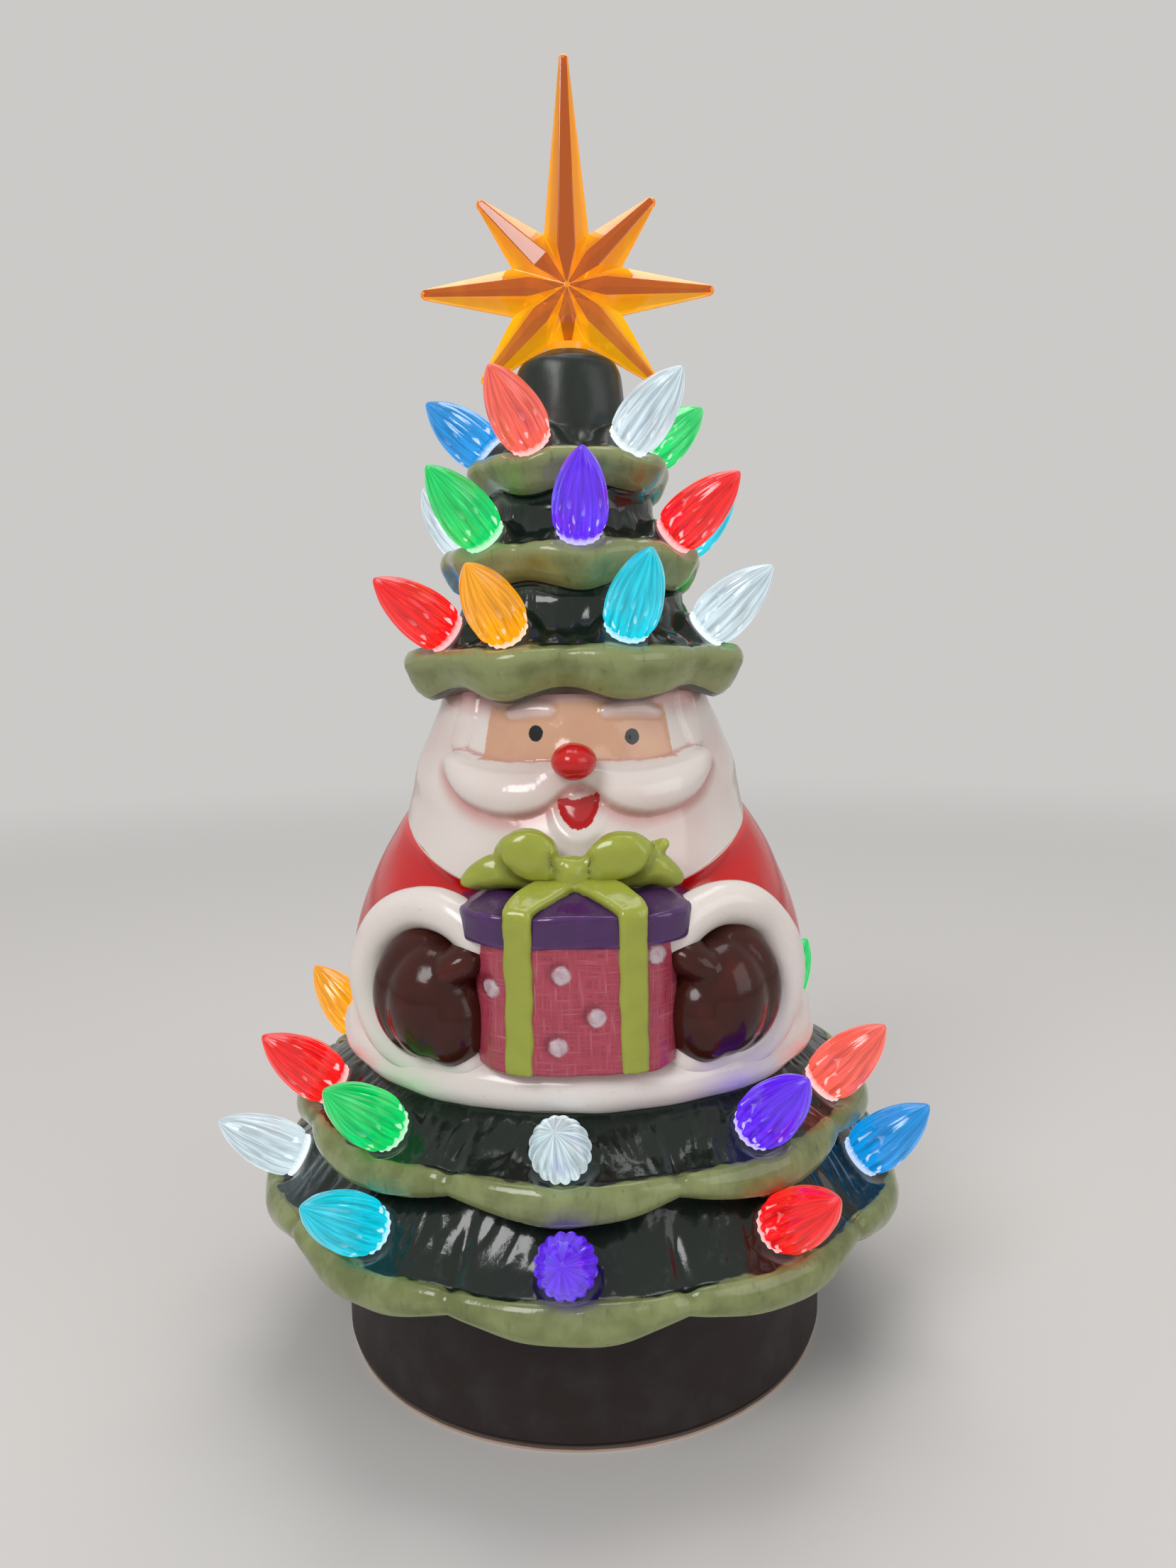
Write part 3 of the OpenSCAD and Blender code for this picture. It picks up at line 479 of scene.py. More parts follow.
def cast(bm, voxel, rounds):
    """Melts the closed lumps of a bmesh into one skin and smooths it."""
    mesh = bpy.data.meshes.new("lumps")
    bm.to_mesh(mesh)
    obj = bpy.data.objects.new("lumps", mesh)
    bpy.context.scene.collection.objects.link(obj)
    melt = obj.modifiers.new("Melt", "REMESH")
    melt.mode = "VOXEL"
    melt.voxel_size = voxel
    bpy.context.view_layer.update()
    skin = bpy.data.meshes.new_from_object(obj.evaluated_get(bpy.context.evaluated_depsgraph_get()))
    bm.clear()
    bm.from_mesh(skin)
    bpy.data.objects.remove(obj)
    bpy.data.meshes.remove(mesh)
    bpy.data.meshes.remove(skin)
    soften(bm, rounds)


def sweep(bm, outline, frames):
    """Extrudes a closed outline through a row of frames and caps both ends."""
    ring = [bm.verts.new(frames[0] @ Vector((x, y, 0))) for x, y in outline]
    edges = [bm.edges.new(pair) for pair in zip(ring, ring[1:] + ring[:1])]
    ends = [edges]
    for before, after in zip(frames, frames[1:]):
        made = bmesh.ops.extrude_edge_only(bm, edges=edges)["geom"]
        edges = [g for g in made if isinstance(g, bmesh.types.BMEdge) and g.is_boundary]
        verts = {v for e in edges for v in e.verts}
        bmesh.ops.transform(bm, matrix=after @ before.inverted(), verts=list(verts))
    ends.append(edges)
    for edges in ends:
        bmesh.ops.edgeloop_fill(bm, edges=edges)
    bmesh.ops.recalc_face_normals(bm, faces=bm.faces)


def lumps(bm, row, per_step=6):
    """Adds balls along a smooth row of places and radii, to be melted into one lump."""
    for x, y, z, r in traced(row, per_step):
        ball(bm, Vector((x, y, z)), (r, r, r))


SKIRT_Z, HEM_Z, GIFT_Z, LID_Z = [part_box(node)[0].z
                                 for node in ("skirt_shell", "coat_shell", "gift_box", "gift_lid")]
NECK_Z, BROW_Z, CROWN_Z = [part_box(node)[1].z for node in ("coat_shell", "head_shell", "hat_shell")]


def sizes():
    """The property groups of the scene."""
    scene = bpy.context.scene
    return scene.tree_sizes, scene.figure_sizes, scene.lamp_sizes, scene.finishes


class Tier:
    """A tier of the tree: branches over a rolled brim that swells and hangs in lobes."""

    rolled = ((1.0, -0.95, 0), (0.34, -1.0, 0.7), (0.1, -0.72, 1), (0, -0.1, 1), (0.06, 0.5, 1),
              (0.2, 0.9, 0.9), (0.36, 0.98, 0.8))
    flared = ((1.0, -0.95, 0), (0.50, -1.05, 0.7), (0.24, -0.66, 1), (0.07, 0.0, 1), (0, 0.46, 1),
              (0.10, 0.88, 0.9), (0.32, 1.02, 0.8))
    straight = ((0.3, 0.22), (0.62, 0.56), (1.0, 1.0))
    hollowed = ((0.30, 0.13), (0.72, 0.36), (1.0, 1.0))
    roll_depth = 2.2

    def __init__(self, low_r, brim_r, brim_z, roll, top_r, top_z, lobes, turn, flare=False):
        self.roll_rows = self.flared if flare else self.rolled
        self.slope_rows = self.hollowed if flare else self.straight
        self.sharp, self.thin, self.swell = (2.0, 0.82, 0.25) if flare else (1.0, 0.72, 0.4)
        tree = sizes()[0]
        self.low_r, self.brim_r, self.brim_z, self.roll = low_r, brim_r, brim_z, roll
        self.top_r, self.top_z, self.lobes, self.turn = top_r, top_z, lobes, math.radians(turn)
        self.reach, self.droop = tree.lobe_reach, tree.lobe_droop * (0.7 if flare else 1.0)
        self.curves = {}

    def lobe(self, a):
        """Runs from 0 at a notch to 1 at the middle of a lobe."""
        return abs(math.cos(self.lobes * (a - self.turn) / 2)) ** self.sharp

    def notch(self, a):
        """Distance along the brim from the nearest notch."""
        gap = 2 * math.pi / self.lobes
        offset = (a - self.turn - gap / 2) % gap
        return min(offset, gap - offset) * self.brim_r

    def curve(self, a):
        """Control points from under the brim to the top of the branches, at an azimuth."""
        key = round(a, 5)
        if key not in self.curves:
            lobe = self.lobe(a)
            points = [(self.low_r, self.brim_z + self.roll_rows[0][1] * self.roll)]
            for r_share, z_share, grow in self.roll_rows[1:]:
                swell = grow * (lobe - 0.5)
                r = self.brim_r - r_share * self.roll_depth * self.roll + swell * self.reach
                rise = z_share * self.roll * (self.thin + self.swell * lobe)
                points.append((r, self.brim_z + rise - swell * self.droop))
            foot_r, foot_z = points[-1]
            for r_share, z_share in self.slope_rows:
                points.append((between(foot_r, self.top_r, r_share), between(foot_z, self.top_z, z_share)))
            self.curves[key] = points
        return self.curves[key]

    def at(self, rise, a):
        """Radius and height at a rise, which is -1 under the brim, 0 over the roll and 1 at the top."""
        foot = len(self.roll_rows) - 1
        t = foot * (1 + rise) if rise < 0 else foot + rise * len(self.slope_rows)
        return smooth_through(self.curve(a), t)

    def rows(self, roll_steps, slope_steps):
        """Rows of the tier for a turned wall, and the rise of each."""
        rises = [-1 + i / roll_steps for i in range(roll_steps)]
        rises += [i / slope_steps for i in range(slope_steps)]
        return [(partial(self.at, rise), rise) for rise in rises]


def skirt_tiers():
    """The two tiers of the skirt, from the lowest."""
    t = sizes()[0]
    low_z, high_z = SKIRT_Z + t.low_brim_z, SKIRT_Z + t.skirt_brim_z
    neck = t.skirt_brim_r - t.skirt_in
    return [
        Tier(t.foot_r, t.low_brim_r, low_z, t.skirt_roll, neck, high_z - t.skirt_roll, lobes=10, turn=-2),
        Tier(neck, t.skirt_brim_r, high_z, t.skirt_roll, t.hem_r, HEM_Z, lobes=9, turn=-3),
    ]


def hat_tiers():
    """The three tiers of the hat, from the lowest."""
    t = sizes()[0]
    height = CROWN_Z - BROW_Z
    necks = (t.brow_r, t.mid_brim_r - t.hat_in, t.top_brim_r - t.hat_in, CROWN_SHARES[0][0] * t.crown_r)
    brims = (t.hat_brim_r, t.mid_brim_r, t.top_brim_r)
    return [
        Tier(low_r, brim_r, BROW_Z + brim_share * height, roll_share * t.hat_roll, top_r,
             BROW_Z + top_share * height, lobes, turn, flare=True)
        for low_r, top_r, brim_r, (brim_share, top_share, roll_share, lobes, turn)
        in zip(necks, necks[1:], brims, HAT_SHARES)
    ]


def lamp_places(node):
    """Frames of the lamps in a CAD node, with Z along the lamp from its seat."""
    lamp = sizes()[2]
    bm = bmesh.new()
    bm.from_mesh(frame["nodes"][node].data)
    bmesh.ops.remove_doubles(bm, verts=bm.verts, dist=MERGED)
    left = set(bm.verts)
    places = []
    while left:
        edge_of = [left.pop()]
        island = set(edge_of)
        while edge_of:
            for edge in edge_of.pop().link_edges:
                for v in edge.verts:
                    if v in left:
                        left.remove(v)
                        island.add(v)
                        edge_of.append(v)
        tip = max(island, key=lambda v: math.hypot(v.co.x, v.co.y) + v.co.z).co.copy()
        far = max((v.co - tip).length for v in island)
        rim = [v.co for v in island if (v.co - tip).length > far - lamp.collar_t / 20]
        axis = (tip - sum(rim, Vector()) / len(rim)).normalized()
        turn = axis.to_track_quat("Z", "Y").to_matrix().to_4x4()
        places.append(Matrix.Translation(tip - axis * lamp.height) @ turn)
    bm.free()
    return places


def lamps_on(prefix):
    """Frames of the lamps in the CAD nodes whose names start alike."""
    return [place for node in frame["nodes"] if node.startswith(prefix) for place in lamp_places(node)]


def seat_lamps(bm, places, layer):
    """Flattens the casting round each lamp to a round seat, where the layer fades."""
    lamp = sizes()[2]
    flat, fade = 1.12 * lamp.collar_r, 1.7 * lamp.collar_r
    tree = KDTree(len(bm.verts))
    for i, v in enumerate(bm.verts):
        tree.insert(v.co, i)
    tree.balance()
    bm.verts.ensure_lookup_table()
    for place in places:
        back = place.inverted()
        for _, i, _ in tree.find_range(place.translation, 1.5 * fade):
            v = bm.verts[i]
            near = back @ v.co
            rho = math.hypot(near.x, near.y)
            if rho < fade and abs(near.z) < lamp.collar_r:
                kept = step(rho, flat, fade)
                near.z = between(-0.1 * lamp.collar_t, near.z, kept)
                v.co = place @ near
                v[layer] *= kept


def streaked(co, width, height):
    """Noise that is drawn out upwards."""
    return noise((co.x / width, co.y / width, co.z / height))


def needles(arc, climb, lean, pitch, seed):
    """Height of short raised strokes, from 0 to 1, by the distance round and up the branches."""
    across = (arc + lean * climb) / pitch
    column = math.floor(across)
    x = across - column - 0.5
    span = pitch * (3.6 + 2.4 * chance(column, seed))
    run = climb / span + chance(column, seed, 5)
    number = math.floor(run)
    if chance(column, number, seed) < NEEDLE_GAPS:
        return 0.0
    along = run - number
    width = 0.46 - 0.24 * along
    rounded = math.sin(math.pi * min(1.0, along * 1.05)) ** 0.6
    return max(0.0, 1 - (x / width) ** 2) * rounded


def crown_dents(co):
    """Height of the soft dents round the crown."""
    up = step(co.z, CROWN_Z - 0.018, CROWN_Z - 0.010)
    down = step(CROWN_Z - 0.003, co.z - 0.001, co.z)
    return up * down * 0.0007 * streaked(co, 0.006, 0.02)


def branch_wall(rows, rises, steps, places, pinch, combed):
    """Turned casting of the tree with folds, creases, combed needles and lamp seats, as a bmesh."""
    tree = sizes()[0]
    bm = shell(rows, steps)
    layers = bm.verts.layers.float
    for name in ("rise", "stroke", "dull"):
        layers.new(name)
    along, rise_layer, stroke_layer, dull_layer = [layers[k] for k in ("along", "rise", "stroke", "dull")]

    def height(v):
        rise, tier = rises[round(v[along])]
        # Under each roll the rise is taken to 1, so the dark glaze reaches under the brim, as painted shade
        # there too.
        v[rise_layer] = between(rise, 1.0, step(-rise, 0.72, 0.80))
        v[dull_layer] = step(v.co.z, CROWN_Z - 0.0245, CROWN_Z - 0.0215)
        if tier is None:
            return crown_dents(v.co)
        a = azimuth(v.co)
        under_top = 1 - step(rise, 0.9, 1.0)
        on_slope = step(rise, -0.02, 0.24) * under_top * between(combed, 0.1, v[dull_layer])
        folds = noise(v.co / tree.fold) * tree.fold_h * (1 - 0.5 * step(rise, 0.85, 1.0)) * (2 - combed)
        pleats = streaked(v.co, 0.0035, 0.011) * step(rise, -0.05, 0.15)
        folds += 2.4 * pleats * tree.fold_h * (1 - combed) * (1 - step(rise, 0.8, 1.0))
        on_brim = step(rise, -0.7, -0.2) * (1 - step(rise, 0.5, 0.9))
        crease = hump(tier.notch(a), tree.crease) * tree.fold_h * on_brim
        arc, climb = a * tier.brim_r, rise * (tier.top_z - tier.brim_z)
        lean = 0.5 * math.sin(tier.lobes * (a - tier.turn))
        stroke = max(needles(arc, climb, lean, tree.needle_pitch, 1),
                     needles(arc, climb, 0.7 * lean - 0.25, 1.3 * tree.needle_pitch, 2)) * on_slope
        v[stroke_layer] = stroke
        return folds - pinch * crease + stroke * tree.needle_h

    raise_skin(bm, height)
    mark_hollows(bm)
    seat_lamps(bm, places, stroke_layer)
    return bm


def tiered(tiers, foot, roll_steps, slope_steps):
    """Rows of a wall from its foot up its tiers, and the rise and the tier of each row."""
    rows, rises = [partial(level, *foot)], [(-1, None)]
    for tier in tiers:
        for row, rise in tier.rows(roll_steps, slope_steps):
            rows.append(row)
            rises.append((rise, tier))
    return rows, rises


def add_levels(rows, rises, outline):
    """Adds rows that have one radius and height all round."""
    rows += [partial(level, r, z) for r, z in outline]
    rises += [(1.0, None)] * len(outline)


def front_share(a):
    """Share of the way to the front, nought at the sides and the back."""
    return max(0.0, math.cos(a)) ** 1.5


def neck_row(inset, a):
    """The join of coat and head, which falls and comes forward in front."""
    fig = sizes()[1]
    front = front_share(a)
    return fig.neck_r + fig.neck_out * front - inset, NECK_Z - fig.neck_drop * front


def smooth_rows(controls, steps):
    """Rows of a turned wall on smooth curves through rows of control points."""
    last = len(controls) - 1
    curves = {}

    def row(t, a):
        key = round(a, 5)
        if key not in curves:
            curves[key] = [control(a) for control in controls]
        return smooth_through(curves[key], t)

    return [partial(row, last * i / steps) for i in range(steps + 1)]


def coat_row(height_share, radius_share, a):
    """Row of the coat, which follows the neck line as it nears it."""
    fig = sizes()[1]
    front = front_share(a)
    neck = fig.neck_r + fig.neck_out * front
    r = min(radius_share * fig.coat_r, between(fig.coat_r, neck, height_share ** 3))
    return r, HEM_Z + height_share * (NECK_Z - HEM_Z - fig.neck_drop * front)


def head_row(height_share, radius_share, forward, a):
    """Row of the head, from the neck line to the hat."""
    fig = sizes()[1]
    front = front_share(a)
    foot = NECK_Z - fig.neck_drop * front
    return fig.head_r * (radius_share + forward * front), between(foot, BROW_Z, height_share)


COAT_SHARES = ((0.1, 0.992), (0.2, 0.984), (0.32, 0.992), (0.45, 1), (0.58, 0.98), (0.7, 0.937),
               (0.82, 0.875), (0.93, 0.804))
HEAD_SHARES = ((0.2, 1, 0.093), (0.34, 0.984, 0.06), (0.46, 0.956, 0.027),
               (0.56, 0.923, -0.016), (0.7, 0.879, 0), (0.84, 0.83, 0.02))
HAT_SHARES = ((0.045, 0.252, 1.22, 8, -24), (0.345, 0.52, 1.1, 7, 4), (0.622, 0.76, 1.0, 5, -27))
CROWN_SHARES = ((1.08, 0.76), (1.06, 0.82), (1.01, 0.9), (0.96, 0.945), (0.87, 0.968), (0.70, 0.985),
                (0.52, 1.0))
NEEDLE_GAPS = 0.42


def glaze(name, thin, full, pool, grain=0.006, **more):
    """A glossy glaze that runs thin on ridges and pools in hollows."""
    g = Graph(name)
    hollow = g.attribute("hollow")
    cloud = g.noise(grain, detail=3.0)
    depth_of = hollow + (cloud - 0.5) * 0.9
    color = g.mix(g.mix(thin, full, depth_of.step(-0.9, 0.0)), pool, depth_of.step(0.1, 1.3))
    specks = g.noise(grain / 12, detail=1.0)
    color = g.mix(color, pool, specks.step(0.68, 0.8) * 0.25)
    normal = g.bump(cloud + g.noise(grain / 3) * 0.4, 0.00012)
    return g.finish(base_color=color, roughness=cloud.step(0.0, 1.0) * 0.08 + 0.12, normal=normal, **more)


def own_glaze(name, color, pale=1.25, lift=0.0, deep=0.45, **more):
    """A glaze of one colour, whose ridges are paler and whose hollows are deeper."""
    return glaze(name, dimmed(color, pale, lift), color, dimmed(color, deep), **more)


def branch_glaze(c):
    """Sage green brims under near black branches, with a brushed border between them."""
    g = Graph("branch_glaze")
    hollow, stroke, rise = g.attribute("hollow"), g.attribute("stroke"), g.attribute("rise")
    wobble = (g.noise(0.0025, detail=2.0) - 0.5) * 0.06 + (g.noise(0.010) - 0.5) * 0.5
    dark = (rise + wobble + stroke * 0.02).step(-0.07, -0.02)
    cloud = g.noise(0.006, detail=4.0)
    depth_of = hollow + (cloud - 0.5) * 2.2
    brim = g.mix(c.brim_thin, c.brim, depth_of.step(-0.9, 0.1))
    brim = g.mix(brim, c.brim_pool, depth_of.step(0.2, 1.6))
    brushed = g.noise(0.0012, stretch=(1, 1, 6), detail=2.0)
    brim = g.mix(brim, c.brim_pool, brushed.step(0.55, 0.85) * 0.4)
    branch = g.mix(c.branch_thin, c.branch, (depth_of + brushed).step(-0.7, 0.4))
    color = g.mix(brim, branch, dark)
    normal = g.bump(cloud + brushed * 0.25, 0.00012)
    dull = g.attribute("dull") * 0.22
    return g.finish(base_color=color, roughness=cloud.step(0.0, 1.0) * 0.06 + dull + 0.10, normal=normal,
                    specular_ior_level=0.42)


def bisque():
    """The bare fired clay inside the casting."""
    g = Graph("bisque")
    cloud, grit = g.noise(0.008, detail=4.0), g.noise(0.0006, detail=1.0)
    color = g.mix((0.62, 0.52, 0.44), (0.74, 0.66, 0.58), cloud)
    return g.finish(base_color=color, roughness=grit * 0.2 + 0.7, normal=g.bump(grit, 0.00005))


def face_glaze(c):
    """White glaze with painted pink shade in its hollows and under the hat, painted skin, a red mouth and
    black eyes.
    """
    g = Graph("face_glaze")
    hollow = g.attribute("hollow")
    cloud = g.noise(0.007, detail=3.0)
    ragged = (g.noise(0.0009, detail=2.0) - 0.5) * 0.0007
    z = g.axes(g.place())[2]
    # Painted pink shade in the hollows of the white glaze.
    shade = (hollow + (cloud - 0.5) * 0.9).step(0.15, 1.4) * 0.7
    # Painted pink shadow just under the brim of the hat.
    shadow_under_hat = (z + (cloud - 0.5) * 0.004).step(BROW_Z - 0.008, BROW_Z - 0.001) * 0.85
    cheeks = g.noise(0.022, detail=1.0).step(0.45, 0.8) * 0.35
    # Pink along the crease round the moustache: blush and painted shade.
    crease = g.attribute("blush") * (cloud * 0.5 + 0.55)
    color = g.mix(c.white, c.blush, most(most(shade, shadow_under_hat), most(cheeks, crease)))
    # The skin turns pinker in its hollows: painted shade, with blush at random.
    skin = g.mix(c.skin, c.blush, (cloud.step(0.4, 0.9) + hollow.step(0.3, 1.5)) * 0.45)
    color = g.mix(color, skin, (g.attribute("skin") + ragged).step(-0.0002, 0.0002))
    brow = g.mix(c.white, c.blush, cloud * 0.5 + 0.2)
    color = g.mix(color, brow, g.attribute("brows").step(0.1, 0.9) * 0.9)
    lips = g.mix(dimmed(paled(c.red, 0.02), 0.8), c.blush, cloud.step(0.5, 0.9) * 0.12)
    color = g.mix(color, lips, (g.attribute("mouth") + ragged).step(-0.0001, 0.0001))
    color = g.mix(color, (0.006, 0.006, 0.007), (g.attribute("eyes") + ragged * 0.5).step(-0.0001, 0.0001))
    normal = g.bump(cloud + g.noise(0.0025) * 0.3, 0.00015)
    return g.finish(base_color=color, roughness=cloud.step(0.0, 1.0) * 0.06 + 0.10, normal=normal)


def gift_paper(c):
    """Pink glaze brushed on in a cross hatch, over a paler ground."""
    g = Graph("pink_glaze")
    hollow = g.attribute("hollow")
    across, down = [g.noise(0.00045, stretch=way, detail=3.0) for way in ((14, 14, 1), (1, 1, 14))]
    hatch = most(across, down)
    deep = dimmed(c.pink, 0.65)
    color = g.mix(deep, c.pink, hatch.step(0.35, 0.55))
    color = g.mix(color, paled(c.pink, 0.16, 0.75), hatch.step(0.55, 0.85))
    color = g.mix(color, deep, hollow.step(0.5, 2.0) * 0.7)
    color = g.mix(color, dimmed(c.pink, 0.3), g.attribute("crescents") * 0.6)
    ragged = (g.noise(0.0009, detail=2.0) - 0.5) * 0.0008
    dab = g.mix((0.56, 0.46, 0.50), (0.45, 0.27, 0.31), g.noise(0.0016).step(0.35, 0.75))
    color = g.mix(color, dab, (g.attribute("dots") + ragged).step(-0.0003, 0.0004))
    return g.finish(base_color=color, roughness=hatch * 0.15 + 0.12, normal=g.bump(hatch, 0.00008))


def lens(name, hue, lamp):
    """Lit plastic of a lamp: glowing flutes with fine streaks and glints, brightest at the collar."""
    g = Graph(name)
    place = g.attribute("lamp_place", output="Vector")
    height = g.axes(place)[2] / lamp.height
    streak = g.noise(0.00055, stretch=(1, 1, 14), detail=2.0, vector=place)
    cloud = g.noise(0.004, stretch=(1, 1, 2), detail=1.0, vector=place)
    glint = g.noise(0.0011, stretch=(1, 1, 2.2), detail=0.0, vector=place)
    low = 1 - height.step(0.0, 0.6)
    glow = streak.step(0.3, 0.75) * 0.4 + g.attribute("crest") * 0.22 + low * 0.25 + cloud * 0.3
    color = g.mix(dimmed(hue, 0.42), hue, glow.step(0.15, 0.85))
    rim = 1 - height.step(0.03, 0.10)
    threads = streak.step(0.72, 0.80) * height.step(0.25, 0.6) * 0.55
    bright = most(most(glint.step(0.66, 0.74) * low, rim * 0.8), threads)
    color = g.mix(color, paled(hue, 0.6), bright)
    return g.finish(base_color=dimmed(hue, 0.25), roughness=0.07, emission_color=color,
                    emission_strength=1.15, coat_weight=0.3, coat_roughness=0.02,
                    normal=g.bump(streak, 0.00008))


def star_plastic(name, deep, gold):
    """Clear amber plastic with faint flow marks, golden where the light from the tree comes up and with
    painted gold highlights towards the rims.
    """
    g = Graph(name)
    flow = g.noise(0.004, stretch=(1, 1, 3), detail=2.0)
    lit = 1 - g.axes(g.place())[2].step(CROWN_Z, CROWN_Z + 0.022)
    # Where across nears 1, at the rims, the amber turns gold: a painted highlight.
    edge = g.attribute("across")
    color = g.mix(deep, gold, ((flow - 0.5) * 0.7 + lit * 0.55 + edge * 0.75).step(0.1, 1.0))
    return g.finish(base_color=color, roughness=0.04, transmission_weight=0.5, ior=1.49,
                    normal=g.bump(flow, 0.0001), emission_color=color, emission_strength=0.22)


def moulded(name, color, roughness=0.4, **more):
    """Plastic with a fine moulded grain."""
    g = Graph(name)
    fine, cloud = g.noise(0.0004, detail=2.0), g.noise(0.012)
    shade = g.mix(color, dimmed(color, 0.8), cloud)
    return g.finish(base_color=shade, roughness=fine * 0.15 + roughness, normal=g.bump(fine, 0.00003),
                    **more)


def plated(name, color):
    """Plated metal with fine drawn lines."""
    g = Graph(name)
    lines = g.noise(0.0003, stretch=(1, 12, 12), detail=2.0)
    shade = g.mix(color, dimmed(color, 0.7), lines)
    return g.finish(base_color=shade, metallic=1.0, roughness=lines * 0.2 + 0.2,
                    normal=g.bump(lines, 0.00002))


def matt_base(c):
    """The base's matt glaze, cloudy, and paler and warmer along its top edge."""
    g = Graph("matte_ceramic")
    cloud, grit = g.noise(0.009, detail=4.0), g.noise(0.0005, detail=1.0)
    warm = paled(c.base, 0.35, 0.05)
    z = g.axes(g.place())[2]
    edge = (z + (cloud - 0.5) * 0.003).step(SKIRT_Z - 0.002, SKIRT_Z)
    color = g.mix(g.mix(c.base, warm, cloud.step(0.4, 0.8)), warm, edge)
    return g.finish(base_color=color, roughness=grit * 0.1 + 0.55, normal=g.bump(grit + cloud, 0.00004),
                    specular_ior_level=0.3)


def pale_ring(c):
    """Soft ring under the base, bare at its foot and dark with glaze above."""
    g = Graph("pale_silicone")
    cloud, grit = g.noise(0.006), g.noise(0.0005, detail=1.0)
    glazed = (g.axes(g.place())[2] + (cloud - 0.5) * 0.0003).step(0.0004, 0.0007)
    color = g.mix((0.46, 0.33, 0.26), c.base, glazed * 0.85)
    return g.finish(base_color=color, roughness=grit * 0.15 + 0.6, normal=g.bump(grit, 0.00003))


def cell_sleeve():
    """Printed sleeve of a cell, plain, with a bare steel end."""
    g = Graph("cell_sleeve")
    x = g.axes(g.place())[0]
    cloud = g.noise(0.01)
    color = g.mix((0.42, 0.22, 0.04), (0.30, 0.15, 0.03), cloud)
    color = g.mix(color, (0.02, 0.02, 0.02), x.step(-0.0005, 0.0005))
    return g.finish(base_color=color, roughness=cloud * 0.1 + 0.25, metallic=0.3)


class Dresser:
    """What the operators share."""

    bl_options = {"REGISTER", "UNDO"}


class DressSkirt(Dresser, Operator):
    """Casts the two lower tiers with their rolled brims, branches and lamp seats"""

    bl_idname = "tree.dress_skirt"
    bl_label = "Skirt"

    around = 720

    def execute(self, context):
        tree, _, _, c = sizes()
        tiers = skirt_tiers()
        rows, rises = tiered(tiers, (tree.foot_r, SKIRT_Z), roll_steps=14, slope_steps=26)
        last = len(rows) - 1
        inner = [(tree.hem_r, HEM_Z), (tree.hem_r - tree.wall, HEM_Z),
                 (tiers[1].low_r - tree.wall, tiers[1].brim_z), (tree.foot_r - tree.wall, SKIRT_Z)]
        add_levels(rows, rises, inner)
        bm = branch_wall(rows, rises, self.around, lamps_on("bulb_"), pinch=1.1, combed=1.0)
        bare_inside(bm, last)
        piece("skirt", bm, [branch_glaze(c), bisque()], "branch_glaze", ["skirt_shell"])
        return {"FINISHED"}


class DressHat(Dresser, Operator):
    """Casts the three upper tiers and the open crown that holds the star"""

    bl_idname = "tree.dress_hat"
    bl_label = "Hat"

    around = 600

    def execute(self, context):
        tree, _, lamp, c = sizes()
        tiers = hat_tiers()
        rows, rises = tiered(tiers, (tree.brow_r, BROW_Z), roll_steps=12, slope_steps=22)
        crown = [(tree.crown_r * r, between(BROW_Z, CROWN_Z, z)) for r, z in CROWN_SHARES]
        add_levels(rows, rises, traced(crown, 8))
        last = len(rows)
        socket_r, socket_z = lamp.plug_r + 0.0005, CROWN_Z - lamp.plug_l - 0.002
        inner = [(socket_r, CROWN_Z - 0.0004), (socket_r, socket_z),
                 (tiers[2].low_r - 1.6 * tree.wall, tiers[2].brim_z),
                 (tiers[1].low_r - 1.3 * tree.wall, tiers[1].brim_z), (tree.brow_r - tree.wall, BROW_Z)]
        add_levels(rows, rises, inner)
        bm = branch_wall(rows, rises, self.around, lamps_on("hat_bulbs_"), pinch=0.4, combed=0.5)
        bare_inside(bm, last)
        piece("hat", bm, [branch_glaze(c), bisque()], "branch_glaze", ["hat_shell"])
        return {"FINISHED"}


